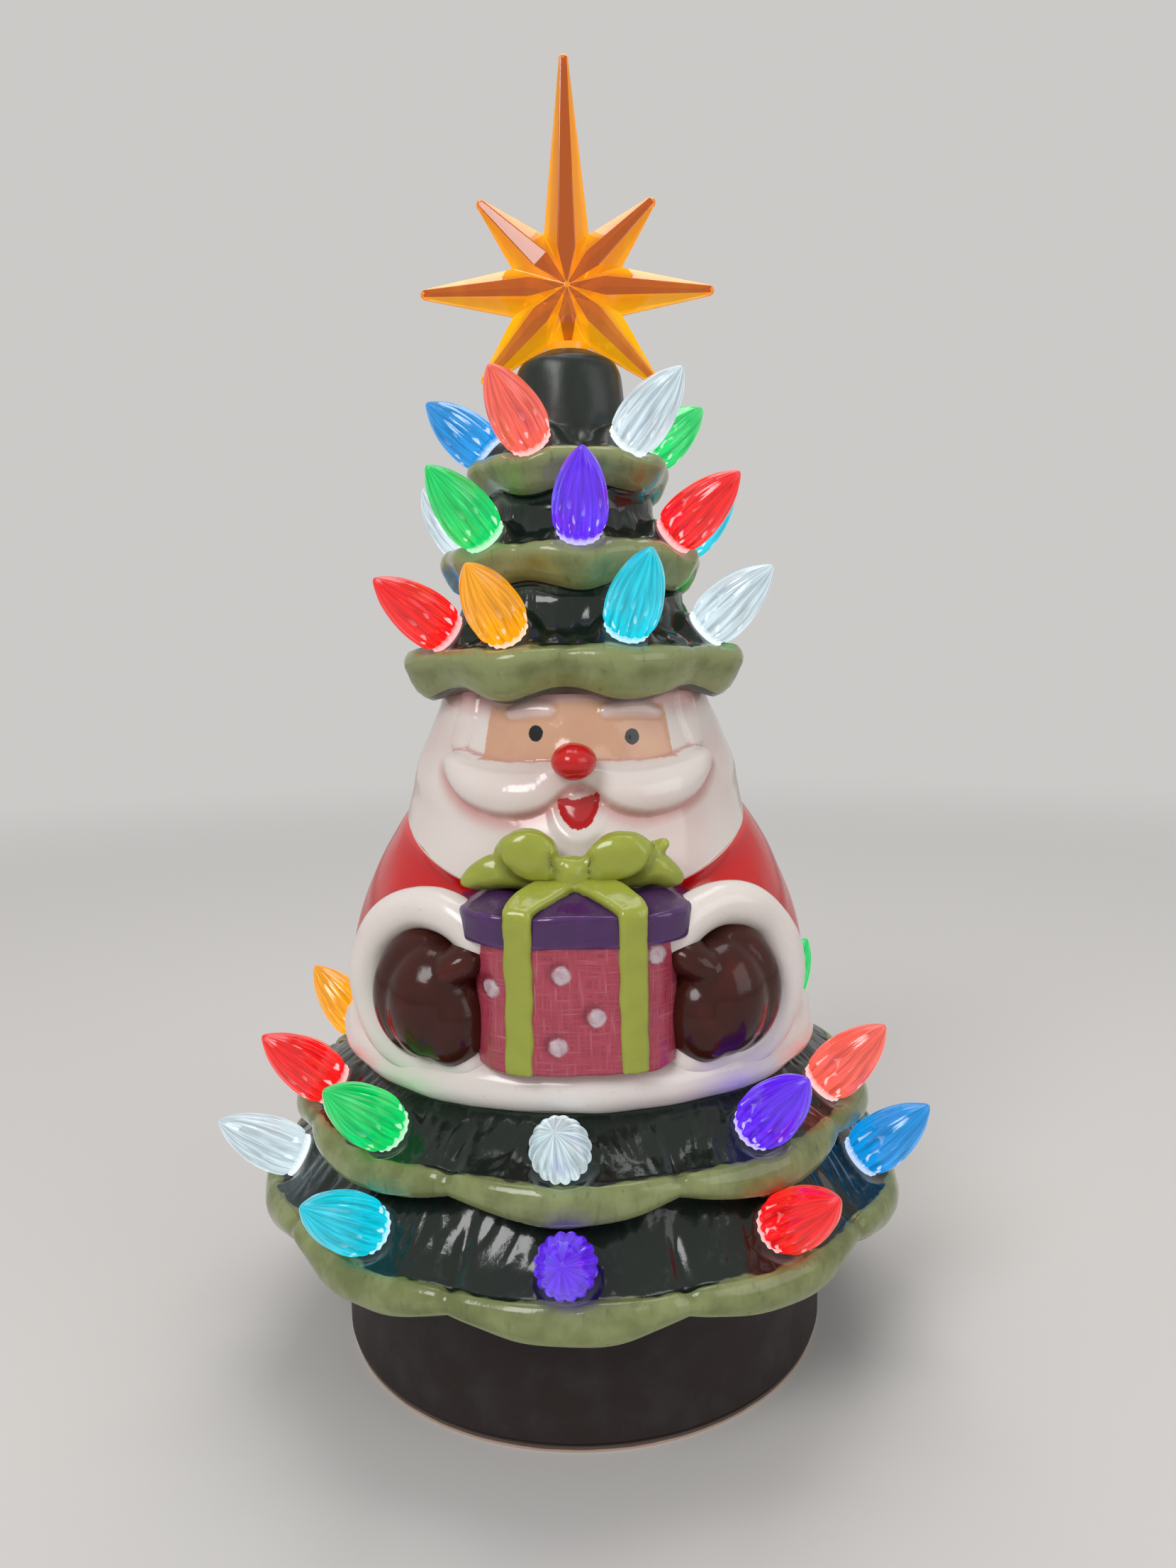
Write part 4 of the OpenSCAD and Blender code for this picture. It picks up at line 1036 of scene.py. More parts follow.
class DressCoat(Dresser, Operator):
    """Casts the red coat with its white hem and cuffs"""

    bl_idname = "tree.dress_coat"
    bl_label = "Coat"

    sleeve = ((60, 0.10), (82, 0.30), (102, 0.56), (113, 0.80), (117, 1.0))
    sleeve_rise, crease_depth, crease_w = 0.0009, 0.0012, 0.0019
    wall_rows, around = 56, 360

    def execute(self, context):
        tree, fig, _, c = sizes()
        controls = [partial(level, tree.hem_r, HEM_Z)]
        controls += [partial(coat_row, *shares) for shares in COAT_SHARES]
        controls.append(partial(neck_row, 0.0))
        rows = smooth_rows(controls, self.wall_rows)
        rows += [partial(neck_row, tree.wall), partial(level, fig.coat_r - 2 * tree.wall, HEM_Z + 0.021),
                 partial(level, tree.hem_r - tree.wall, HEM_Z)]
        bm = shell(rows, self.around)
        along = bm.verts.layers.float["along"]
        fold = [(math.radians(turn) * fig.coat_r, between(HEM_Z, NECK_Z, up))
                for turn, up in traced(self.sleeve, 24)]

        def relief(v):
            arc, z = abs(azimuth(v.co)) * fig.coat_r, v.co.z
            near, place = min((math.hypot(arc - fa, z - fz), fa - arc) for fa, fz in fold)
            sleeve = step(place, -0.0005, 0.004) * (1 - step(near, 0.006, 0.016)) * self.sleeve_rise
            crease = self.crease_depth * hump(near, self.crease_w)
            ends = step(v[along], 2, 12) * step(self.wall_rows - 2 - v[along], 0, 8)
            return (noise(v.co / 0.02) * 0.0005 + sleeve - crease) * ends

        raise_skin(bm, relief)
        for v in bm.verts:
            v.co.xy *= 1 - 0.03 * step(HEM_Z + 0.005 - v.co.z, 0.0, 0.004)
        bare_inside(bm, self.wall_rows - 1)
        red = own_glaze("red_glaze", c.red, lift=0.01, deep=0.55, grain=0.012)
        glazed("coat", bm, [red, bisque()], "red_glaze", ["coat_shell"])
        # The white glaze of hem and cuffs turns pink in its hollows: painted shade.
        white = glaze("white_glaze", c.white, c.white, c.blush, grain=0.009)
        self.hem(tree, fig, white)
        for side, node in ((-1, "left_cuff"), (1, "right_cuff")):
            self.cuff(fig, side, node, white)
        return {"FINISHED"}

    def hem(self, tree, fig, white):
        """The white band round the foot of the coat."""
        middle = HEM_Z + fig.fur
        outline = [(tree.hem_r - fig.fur / 6 + fig.fur * math.cos(t), middle + fig.fur * math.sin(t))
                   for t in (math.radians(-96 + 8 * i) for i in range(25))]
        outline += [(tree.hem_r - 0.5 * fig.fur, middle + end * 0.9 * fig.fur) for end in (1, -1)]
        bm = turned(outline, self.around)
        uneven(bm, size=0.011, height=0.0006)
        glazed("hem", bm, [white], "white_glaze", ["coat_hem"])

    def cuff(self, fig, side, node, white):
        """A white band round a mitten, open towards the gift."""
        ring = fig.mitten_r + fig.fur
        turn = Matrix.Rotation(side * fig.cuff_turn, 4, "Z")
        middle = Vector((side * fig.mitten_x, -fig.cuff_y, GIFT_Z + 1.18 * fig.mitten_r))
        row = []
        for i in range(31):
            t = math.radians(42 + 262 * i / 30)
            p = middle + turn @ Vector((-side * ring * math.cos(t), 0, ring * math.sin(t)))
            row.append((*p, fig.fur * (0.96 + 0.1 * noise(p / 0.01))))
        bm = bmesh.new()
        lumps(bm, row, per_step=2)
        cast(bm, voxel=0.0006, rounds=6)
        glazed(node.replace("left", "l").replace("right", "r"), bm, [white], "white_glaze", [node])


def bar(row):
    """Places and radii along a rounded bar, from a row of (x, z, radius)."""
    return traced(row, 5)


def bar_reach(x, z, places):
    """Distance from the middle of a rounded bar, which is 1 at its edge."""
    return min(math.hypot(x - px, z - pz) / r for px, pz, r in places)


def bar_height(reach, height):
    """Height of a rounded bar at a reach."""
    return height * (1 - reach * reach) ** 0.6 if reach < 1 else 0.0


class Face:
    """The relief of the head and where its paint goes, by the place across and up."""

    middle = 0.0008
    moustache = bar(((0.0000, 0.1288, 0.0029), (0.0045, 0.1279, 0.0035), (0.0095, 0.1263, 0.0050),
                     (0.0150, 0.1260, 0.0053), (0.0205, 0.1274, 0.0049), (0.0238, 0.1296, 0.0037)))
    brows = (bar(((-0.0122, 0.1408, 0.0014), (-0.0088, 0.1417, 0.0020), (-0.0048, 0.1415, 0.0015))),
             bar(((0.0066, 0.1411, 0.0015), (0.0115, 0.1418, 0.0022), (0.0165, 0.1406, 0.0014))))
    hair = bar(((0.0222, 0.1460, 0.0020), (0.0230, 0.1400, 0.0023), (0.0246, 0.1345, 0.0018)))
    eyes = ((-0.0075, 0.1370), (0.0117, 0.1360))
    eye_r, eye_tall = 0.00145, 1.12
    mouth_x, mouth_top, mouth_low, mouth_w = 0.0008, 0.1246, 0.1184, 0.0041
    unpainted = {"skin": -1.0, "mouth": -1.0, "eyes": -1.0, "blush": 0.0, "brows": 0.0}

    def brow(self, x, z):
        """Share of a brow, which fades softly into the skin."""
        return max(1 - step(bar_reach(x, z, places), 0.25, 1.35) for places in self.brows)

    def skin(self, x, z):
        """Distance inside the painted skin."""
        top = 0.1424 + 0.0010 * hump(x - self.middle, 0.006)
        return min(0.0194 - 0.18 * (z - 0.132) - abs(x - self.middle), top - z, z - 0.1314)

    def mouth(self, x, z):
        """Distance inside the open mouth, wide at its top and round below."""
        x -= self.mouth_x
        below = z - self.mouth_top
        rounded = 1 - math.hypot(x / self.mouth_w, min(0.0, below) / (self.mouth_top - self.mouth_low))
        top = 0.08 * x - 0.0006 * hump(x, 0.0018)
        return min(rounded * self.mouth_w, top - below)

    def eye(self, x, z):
        """Distance inside the nearest eye, an upright oval."""
        return max(self.eye_r - math.hypot(x - ex, (z - ez) / self.eye_tall) for ex, ez in self.eyes)

    def blush(self, x, z, reach):
        """Share of pink in the crease round the moustache, blush and painted shade, which fades outwards."""
        below = step(self.moustache_line(x) - z, -0.0035, 0.001)
        return hump(max(0.0, reach - 1.04), 0.42) * step(reach, 0.72, 1.0) * below

    def moustache_line(self, x):
        """Height of the middle of the moustache."""
        return 0.1262 + 0.0036 * step(abs(x - self.middle), 0.012, 0.026)

    def relief(self, x, z):
        """Height of the skin, and the distances inside the painted parts."""
        mx = abs(x - self.middle)
        reach = bar_reach(mx, z, self.moustache)
        brow = self.brow(x, z) if z > 0.135 else 0.0
        skin, mouth, eye = self.skin(x, z), self.mouth(x, z), self.eye(x, z)
        whiskers = bar_height(reach, 0.0036) + 0.0022 * hump(math.hypot(mx, z - 0.1300), 0.0042)
        hair = bar_height(bar_reach(mx, z, self.hair), 0.0008)
        dip = -0.0009 * step(skin, -0.0004, 0.0009)
        mound = 0.0005 * step(eye, -0.0025, 0.0) + 0.0005 * math.sqrt(min(1.0, max(0.0, eye / self.eye_r)))
        opening = -0.0006 * step(mouth, -0.0003, 0.0012) + 0.0004 * hump(mouth + 0.0012, 0.0009)
        chin = 0.0015 * hump(math.hypot(x - self.middle, z - 0.1155), 0.0075)
        bare = 1 - step(whiskers, 0.0, 0.0012)
        height = max(whiskers, 0.0008 * brow, hair, (dip + mound) * bare) + opening * bare + chin
        if reach < 0.9:
            mouth = min(mouth, -0.001)
        blush = self.blush(x, z, reach)
        return height, {"skin": skin, "mouth": mouth, "eyes": eye, "blush": blush, "brows": brow}


class DressHead(Dresser, Operator):
    """Casts the head with its beard, moustache, brows and painted face, and the nose"""

    bl_idname = "tree.dress_head"
    bl_label = "Head"

    wall_rows, around = 96, 600

    def execute(self, context):
        tree, fig, _, c = sizes()
        controls = [partial(neck_row, 0.0)]
        controls += [partial(head_row, *shares) for shares in HEAD_SHARES]
        controls.append(partial(level, tree.brow_r, BROW_Z))
        rows = smooth_rows(controls, self.wall_rows)
        rows += [partial(level, tree.brow_r - tree.wall, BROW_Z),
                 partial(level, fig.head_r - tree.wall, between(NECK_Z, BROW_Z, 0.25)),
                 partial(neck_row, tree.wall)]
        bm = shell(rows, self.around)
        along = bm.verts.layers.float["along"]
        face = Face()
        masks = {name: bm.verts.layers.float.new(name) for name in face.unpainted}

        def relief(v):
            shown = v.co.y < -0.01 and abs(v.co.x) < 0.034 and v[along] < self.wall_rows + 0.5
            height, values = face.relief(v.co.x, v.co.z) if shown else (0.0, face.unpainted)
            for name, value in values.items():
                v[masks[name]] = value
            locks = streaked(v.co, 0.0045, 0.022) * 0.0007 * step(abs(azimuth(v.co)), 1.5, 2.2)
            ends = step(self.wall_rows - v[along], 0, 6)
            return height + (noise(v.co / 0.012) * 0.0004 + locks) * ends

        raise_skin(bm, relief)
        bare_inside(bm, self.wall_rows)
        glazed("head", bm, [face_glaze(c), bisque()], "white_glaze", ["head_shell", "moustache"],
               rounds=14, reach=0.0003)
        self.nose(fig, c)
        return {"FINISHED"}

    def nose(self, fig, c):
        """The red nose, an egg that is sunk into the face."""
        low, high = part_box("nose")
        middle = (low + high) / 2
        middle.y += 0.3 * fig.nose_r
        bm = bmesh.new()
        ball(bm, middle, (0.98 * fig.nose_r, 1.2 * fig.nose_r, 0.80 * fig.nose_r), steps=5)
        uneven(bm, size=0.004, height=0.0002)
        red = own_glaze("nose_glaze", c.red, pale=1.2, lift=0.02, deep=0.6)
        glazed("nose_ball", bm, [red], "red_glaze", ["nose"])


class DressHands(Dresser, Operator):
    """Models the brown mittens that hold the gift"""

    bl_idname = "tree.dress_hands"
    bl_label = "Hands"

    eggs = (((0.0, 0.0, 0.0), (0.90, 0.88, 1.10), False), ((-0.30, -0.26, -0.26), (0.70, 0.66, 0.86), False),
            ((-0.46, -0.30, 0.74), (0.64, 0.56, 0.36), True))

    def execute(self, context):
        _, fig, _, c = sizes()
        brown = glaze("brown_glaze", (0.150, 0.018, 0.010), c.brown, dimmed(c.brown, 0.4),
                      specular_ior_level=0.32)
        for side, node in ((-1, "left_mitten"), (1, "right_mitten")):
            self.mitten(fig, side, node, brown)
        return {"FINISHED"}

    def mitten(self, fig, side, node, brown):
        """A mitten melted from the back of the hand, the palm, the fingers and a tilted thumb."""
        r = fig.mitten_r
        middle = Vector((side * fig.mitten_x, -fig.mitten_y, GIFT_Z + 1.02 * r))
        palm = middle + Vector((-0.10 * side * r, -0.10 * r, -0.03 * r))
        tilt = Matrix.Rotation(side * 0.5, 4, "Y")
        bm = bmesh.new()
        back = middle + Vector((0.04 * side * r, 0.14 * r, 0.02 * r))
        ball(bm, back, (1.04 * r, 0.74 * r, 1.23 * r), steps=4)
        for (x, y, z), radii, tilted in self.eggs:
            place = palm + Vector((x * side * r, y * r, z * r))
            ball(bm, place, [k * r for k in radii], tilt if tilted else None, 4)
        cast(bm, voxel=0.0005, rounds=5)
        glazed(node + "_glazed", bm, [brown], "brown_glaze", [node])


def gift_block(w, front, low, high, corner, slope):
    """Closed block of the gift, seen from above a round-cornered square, with a sloping upper edge."""
    d = 0.44 * w
    power = 2.9

    def row(inset, z, shrink, a):
        reach = ((2 * abs(math.sin(a)) / w) ** power + (abs(math.cos(a)) / d) ** power) ** (-1 / power)
        return shrink * max(0.0, reach - inset), z

    arc = [math.radians(90 * i / 4) for i in range(5)]
    top = high - slope
    count = round((top - low) / 0.0006)
    profile = [(corner, low, 0.0), (corner, low, 0.6)]
    profile += [(corner * (1 - math.sin(t)), low + corner * (1 - math.cos(t)), 1) for t in arc]
    profile += [(0.0, between(low + corner, top - corner, i / count), 1) for i in range(1, count)]
    profile += [(corner * (1 - math.cos(t)), top - corner * (1 - math.sin(t)), 1) for t in arc]
    profile += [(corner + 0.22 * w * t, top + slope * math.sin(1.57 * t), 1)
                for t in (i / 10 for i in range(1, 11))]
    profile += [(profile[-1][0], high, 0.5), (0.0, high, 0.0)]
    bm = shell([partial(row, *entry) for entry in profile], 240, closed=False)
    bmesh.ops.translate(bm, verts=bm.verts, vec=(0, d - front, 0))
    bmesh.ops.remove_doubles(bm, verts=bm.verts, dist=MERGED)
    bmesh.ops.recalc_face_normals(bm, faces=bm.faces)
    return bm


class DressGift(Dresser, Operator):
    """Models the gift box, its lid, the ribbons and the bow"""

    bl_idname = "tree.dress_gift"
    bl_label = "Gift"

    dots = ((-0.0026, 0.0946), (0.0037, 0.0866), (-0.0034, 0.0812), (-0.0158, 0.0914), (0.0150, 0.0975))
    dot_r, ribbon_in, ribbon_t = 0.0017, 0.0095, 0.0010
    over_lid = ((0.12, 0.0110, 0.0014), (0.55, 0.0062, 0.0004), (0.96, 0.0018, -0.0017),
                (1.0, 0.0004, -0.0036))
    loops = (
        ((-0.0012, -0.0008, -0.0002, 0.0022), (-0.0044, -0.0010, 0.0023, 0.0032),
         (-0.0074, -0.0006, 0.0043, 0.0049), (-0.0103, 0.0004, 0.0046, 0.0038),
         (-0.0125, 0.0010, 0.0044, 0.0022)),
        ((0.0014, -0.0008, -0.0002, 0.0022), (0.0050, -0.0010, 0.0019, 0.0032),
         (0.0087, -0.0006, 0.0036, 0.0048), (0.0120, 0.0004, 0.0038, 0.0040),
         (0.0142, 0.0010, 0.0038, 0.0024)),
        ((-0.0060, 0.0026, -0.0004, 0.0030), (-0.0105, 0.0028, 0.0004, 0.0034),
         (-0.0146, 0.0030, 0.0006, 0.0034), (-0.0178, 0.0034, -0.0006, 0.0026),
         (-0.0202, 0.0040, -0.0014, 0.0014)),
        ((0.0060, 0.0026, -0.0004, 0.0030), (0.0115, 0.0028, 0.0004, 0.0034),
         (0.0158, 0.0030, 0.0008, 0.0033), (0.0184, 0.0034, -0.0006, 0.0027),
         (0.0204, 0.0040, -0.0014, 0.0015)),
        ((0.0150, 0.0028, 0.0036, 0.0022), (0.0180, 0.0030, 0.0054, 0.0011)),
    )
    folds = (
        ((-0.0146, 0.0060), (-0.0138, 0.0038), (-0.0124, 0.0012), (-0.0100, -0.0010), (-0.0066, -0.0024)),
        ((0.0162, 0.0056), (0.0156, 0.0034), (0.0140, 0.0008), (0.0112, -0.0010), (0.0072, -0.0024)),
        ((-0.0030, 0.0040), (-0.0026, 0.0016), (-0.0034, -0.0008), (-0.0050, -0.0026)),
        ((0.0036, 0.0036), (0.0030, 0.0014), (0.0038, -0.0008), (0.0054, -0.0026)),
    )

    def execute(self, context):
        _, fig, _, c = sizes()
        lid_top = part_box("gift_lid")[1].z
        ribbon_x = 0.5 * fig.box_w - self.ribbon_in
        self.box(fig, c)
        self.lid(fig, c, ribbon_x, lid_top)
        lime = own_glaze("lime_glaze", c.lime, grain=0.004)
        self.ribbons(fig, lime, ribbon_x, lid_top)
        self.bow(lime, lid_top)
        return {"FINISHED"}

    def box(self, fig, c):
        """The wrapped box with its raised dots."""
        bm = gift_block(fig.box_w, fig.box_y, GIFT_Z, LID_Z + 0.001, corner=0.0008, slope=0.0)
        dot_layer = bm.verts.layers.float.new("dots")
        crescent_layer = bm.verts.layers.float.new("crescents")

        def dot(v):
            if v.co.y > -0.04:
                v[dot_layer] = -1.0
                return 0.0
            v[dot_layer] = max(self.dot_r - math.hypot(v.co.x - x, v.co.z - z) for x, z in self.dots)
            beside = min(math.hypot(v.co.x - x + 0.0007, v.co.z - z - 0.0004) for x, z in self.dots)
            v[crescent_layer] = hump(beside - 0.0016, 0.0006)
            dent = -0.0004 * v[crescent_layer] * step(-v[dot_layer], -0.0004, 0.0002)
            return 0.00016 * step(v[dot_layer], -0.0002, 0.0009) + dent + 0.0003 * noise(v.co / 0.006)

        raise_skin(bm, dot)
        glazed("gift_wrapped_box", bm, [gift_paper(c)], "pink_glaze", ["gift_box"])

    def lid(self, fig, c, ribbon_x, lid_top):
        """The lid, which dips under the two ribbons."""

        def dips(v):
            under = hump(abs(v.co.x) - ribbon_x, 0.0034) if v.co.z > LID_Z + 0.0004 else 0.0
            return 0.0004 * noise(v.co / 0.007) - 0.0011 * under

        bm = gift_block(fig.lid_w, fig.box_y + 0.0009, LID_Z, lid_top, corner=0.0011, slope=0.0026)
        raise_skin(bm, dips)
        purple = own_glaze("purple_glaze", c.purple, pale=1.7, deep=0.4, grain=0.003)
        glazed("gift_glazed_lid", bm, [purple], "purple_glaze", ["gift_lid"])

    def ribbons(self, fig, lime, ribbon_x, lid_top):
        """Two ribbons from the knot over the lid's edge and down the front of the box."""
        bm = bmesh.new()
        front = fig.box_y
        half, thick = fig.ribbon_w / 2, self.ribbon_t
        outline = [(-half, -thick), (half, -thick), (half, thick * 0.5), (half * 0.8, thick),
                   (0, thick * 1.15), (-half * 0.8, thick), (-half, thick * 0.5)]
        for side in (-1, 1):
            curve = [(side * share_out * ribbon_x, back - front, lid_top + rise)
                     for share_out, back, rise in self.over_lid]
            curve += [(side * ribbon_x, 0.0008 - front, LID_Z - 0.0002),
                      (side * ribbon_x, 0.0012 - front, between(GIFT_Z, LID_Z, 0.5)),
                      (side * 1.02 * ribbon_x, 0.0014 - front, GIFT_Z + 0.0002)]
            points = [Vector(point) for point in traced(curve, 8)]
            frames = []
            for i, point in enumerate(points):
                along = (points[min(i + 1, len(points) - 1)] - points[max(i - 1, 0)]).normalized()
                across = Vector((1, 0.27 * side * step(i, 14, 24), 0))
                across = (across - along * across.dot(along)).normalized()
                turn = Matrix((across, along.cross(across), along)).transposed().to_4x4()
                broad = Matrix.Diagonal((between(1.35, 1.0, step(i, 4, 22)), 1, 1, 1))
                frames.append(Matrix.Translation(point) @ turn @ broad)
            sweep(bm, outline, frames)
        bmesh.ops.recalc_face_normals(bm, faces=bm.faces)
        cast(bm, voxel=0.0004, rounds=4)
        uneven(bm, size=0.004, height=0.0003)
        glazed("ribbon_strips", bm, [lime], "lime_glaze", ["gift_ribbons"])

    def bow(self, lime, lid_top):
        """Two plump loops and short leaf-like tails about a knot."""
        x0, y0, z0 = -0.0008, -0.0450, lid_top + 0.0024
        bm = bmesh.new()
        for row in self.loops:
            lumps(bm, [(x0 + x, y0 + y, z0 + z, r) for x, y, z, r in row])
        ball(bm, Vector((x0, y0 - 0.0010, z0 + 0.0002)), (0.0042, 0.0030, 0.0040))
        cast(bm, voxel=0.0004, rounds=5)
        points = [point for line in self.folds for point in traced(line, 8)]

        def crease(v):
            near = min(math.hypot(v.co.x - x0 - x, v.co.z - z0 - z) for x, z in points)
            fold = 0.0007 * hump(near, 0.0009) * step(-v.normal.y, -0.2, 0.5)
            return 0.00025 * noise(v.co / 0.003) - fold

        front = y0 - 0.0028
        for v in bm.verts:
            if v.co.y < front and abs(v.co.x - x0) > 0.0036:
                v.co.y = between(front, v.co.y, 0.4)
        raise_skin(bm, crease)
        glazed("bow_loops", bm, [lime], "lime_glaze", ["bow"], rounds=14, reach=0.0004)


class DressLamps(Dresser, Operator):
    """Makes the push-in lamps with their flutes, collars and stems"""

    bl_idname = "tree.dress_lamps"
    bl_label = "Lamps"

    stem = ((0, -1), (0.9, -1), (1, -0.93), (1, 0))
    collar = ((0.97, 0), (1.08, 0.25), (1.10, 0.7), (1, 1))
    flame = ((0.90, 0.052), (0.76, 0.066), (0.90, 0.10), (0.975, 0.18), (1.0, 0.28), (0.985, 0.38),
             (0.93, 0.49), (0.84, 0.60), (0.71, 0.71), (0.55, 0.81), (0.37, 0.89), (0.2, 0.955),
             (0.09, 0.988), (0.0, 1.0))

    def lamp(self, lamp):
        """One lamp, upright on its seat."""
        parts = ((self.stem, lamp.stem_r, lamp.stem_l), (self.collar, lamp.collar_r, lamp.collar_t),
                 (traced(self.flame, 2)[1:], lamp.radius, lamp.height))
        outline = [(r * wide, z * tall) for shares, wide, tall in parts for r, z in shares]
        bm = turned(outline, 6 * lamp.flutes, closed=False)
        place = bm.verts.layers.float_vector.new("lamp_place")
        crest = bm.verts.layers.float.new("crest")
        for v in bm.verts:
            a = math.atan2(v.co.y, v.co.x)
            wave = abs(math.sin(lamp.flutes * a / 2))
            share_up = v.co.z / lamp.height
            if share_up > 0.06:
                depth = between(0.10, 0.02, step(share_up, 0.1, 0.95))
            elif share_up > 0.004:
                depth = 0.12
            else:
                depth = 0.0
            v.co.xy *= 1 - depth * (1 - wave)
            v[place] = (lamp.radius * math.cos(a), lamp.radius * math.sin(a), v.co.z)
            v[crest] = wave
        return bm

    def execute(self, context):
        _, _, lamp, c = sizes()
        template = bpy.data.meshes.new("lamp")
        bm = self.lamp(lamp)
        bm.to_mesh(template)
        bm.free()
        hues = {"lens_" + hue: lens("lens_" + hue, getattr(c, hue + "_lens"), lamp) for hue in LENS_NAMES}
        for sub in frame["record"]["subparts"]:
            node, slot = sub["node"], sub["material_slot"]
            if not slot.startswith("lens_"):
                continue
            bm = bmesh.new()
            for place in lamp_places(node):
                new = len(bm.verts)
                bm.from_mesh(template)
                bm.verts.ensure_lookup_table()
                bmesh.ops.transform(bm, matrix=place, verts=bm.verts[new:])
            piece(node.replace("bulb", "lamp"), bm, [hues[slot]], slot, [node])
        bpy.data.meshes.remove(template)
        return {"FINISHED"}


class DressStar(Dresser, Operator):
    """Models the clear amber star with its flat-ridged rays, beads and plug"""

    bl_idname = "tree.dress_star"
    bl_label = "Star"

    ridge_half, ridge_root = 0.0019, 0.0080
    bead_r, worn = 0.0011, 0.00012
    ridge_index, lit_index = 1, 2

    def execute(self, context):
        _, _, lamp, c = sizes()
        middle = CROWN_Z + lamp.star_z
        side, slant = lamp.star_side, lamp.star_slant
        reaches = [lamp.star_top, slant, side, slant, lamp.star_low, slant, side, slant]
        bm = bmesh.new()
        bm.verts.layers.float.new("across")
        for i, reach in enumerate(reaches):
            turn = Matrix.Translation((0, 0, middle)) @ Matrix.Rotation(math.radians(45 * i), 4, "Y")
            self.ray(bm, turn, reach, lamp)
        bmesh.ops.remove_doubles(bm, verts=bm.verts, dist=MERGED)
        bmesh.ops.mirror(bm, geom=bm.verts[:] + bm.edges[:] + bm.faces[:], axis="Y", merge_dist=MERGED)
        bmesh.ops.bridge_loops(bm, edges=[e for e in bm.edges if e.is_boundary])
        bmesh.ops.recalc_face_normals(bm, faces=bm.faces)
        # Sides that face right and down take the lit copy of the amber: painted light from below.
        for face in bm.faces:
            if face.material_index == 0 and 0.5 * face.normal.x > face.normal.z:
                face.material_index = self.lit_index
        sharp = [e for e in bm.edges if len(e.link_faces) == 2 and e.calc_face_angle() > 0.12]
        bmesh.ops.bevel(bm, geom=sharp, offset=self.worn, offset_type="OFFSET", segments=1, profile=0.5,
                        affect="EDGES", clamp_overlap=True, material=-1)
        for i, reach in enumerate(reaches):
            a, out = math.radians(45 * i), reach - self.bead_r
            if reach > lamp.star_low:
                tip = Vector((math.sin(a) * out, 0, middle + math.cos(a) * out))
                ball(bm, tip, [self.bead_r] * 3)
        self.plug(bm, lamp)
        # The sides take a darker amber, the flat ridges a darker one still and the lit sides the full amber:
        # painted light and shade of the clear plastic.
        gold = [between(v, w, 0.4) for v, w in zip(c.amber, (1.0, 0.85, 0.0))]
        ridge_shade_amber = [v * w for v, w in zip(c.amber, (0.42, 0.25, 0.4))]
        plastics = [star_plastic("amber_sides", dimmed(c.amber, 0.8), gold),
                    star_plastic("amber_ridges", ridge_shade_amber, dimmed(c.amber, 0.6)),
                    star_plastic("amber_lit_sides", c.amber, gold)]
        star = piece("star_rays", bm, plastics, "amber_star", ["star"], body="star")
        star.data.shade_flat()
        return {"FINISHED"}

    def plug(self, bm, lamp):
        """Adds the plug under the star, with an edge that leads it into the crown."""
        low, high = CROWN_Z - lamp.plug_l, CROWN_Z + 0.002
        plug = turned([(0, low), (0.9 * lamp.plug_r, low), (lamp.plug_r, CROWN_Z - 0.93 * lamp.plug_l),
                       (lamp.plug_r, high), (0, high)], 48, closed=False)
        mesh = bpy.data.meshes.new("plug")
        plug.to_mesh(mesh)
        plug.free()
        bm.from_mesh(mesh)
        bpy.data.meshes.remove(mesh)

    def ray(self, bm, turn, reach, lamp):
        """Front half of one ray: a flat ridge that narrows to the tip, and a side either way."""
        ridge, root_z = self.ridge_half, min(self.ridge_root, 0.5 * reach)
        valley, half, deep = lamp.star_valley, lamp.star_edge / 2, lamp.star_t / 2
        valley_x, valley_z = [valley * f(math.radians(22.5)) for f in (math.sin, math.cos)]
        across = bm.verts.layers.float["across"]

        def corner(x, y, z, share_across=0.0):
            v = bm.verts.new(turn @ Vector((x, y, z)))
            v[across] = share_across
            return v

        hub = corner(0, -deep, 0)
        tip = [corner(x, -1.3 * half, reach - 0.0008) for x in (-0.0006, 0.0006)]
        root = [corner(x, -0.84 * deep, root_z) for x in (-ridge, ridge)]
        low = [corner(x, -half, valley_z, 1.0) for x in (-valley_x, valley_x)]
        end = [corner(x, -half, reach - 0.0006, 0.6) for x in (-0.0009, 0.0009)]
        bm.faces.new((hub, root[0], root[1])).material_index = self.ridge_index
        bm.faces.new((root[0], tip[0], tip[1], root[1])).material_index = self.ridge_index
        bm.faces.new((root[0], low[0], end[0], tip[0]))
        bm.faces.new((root[1], tip[1], end[1], low[1]))
        bm.faces.new((tip[0], end[0], end[1], tip[1]))
        bm.faces.new((hub, low[0], root[0]))
        bm.faces.new((hub, root[1], low[1]))


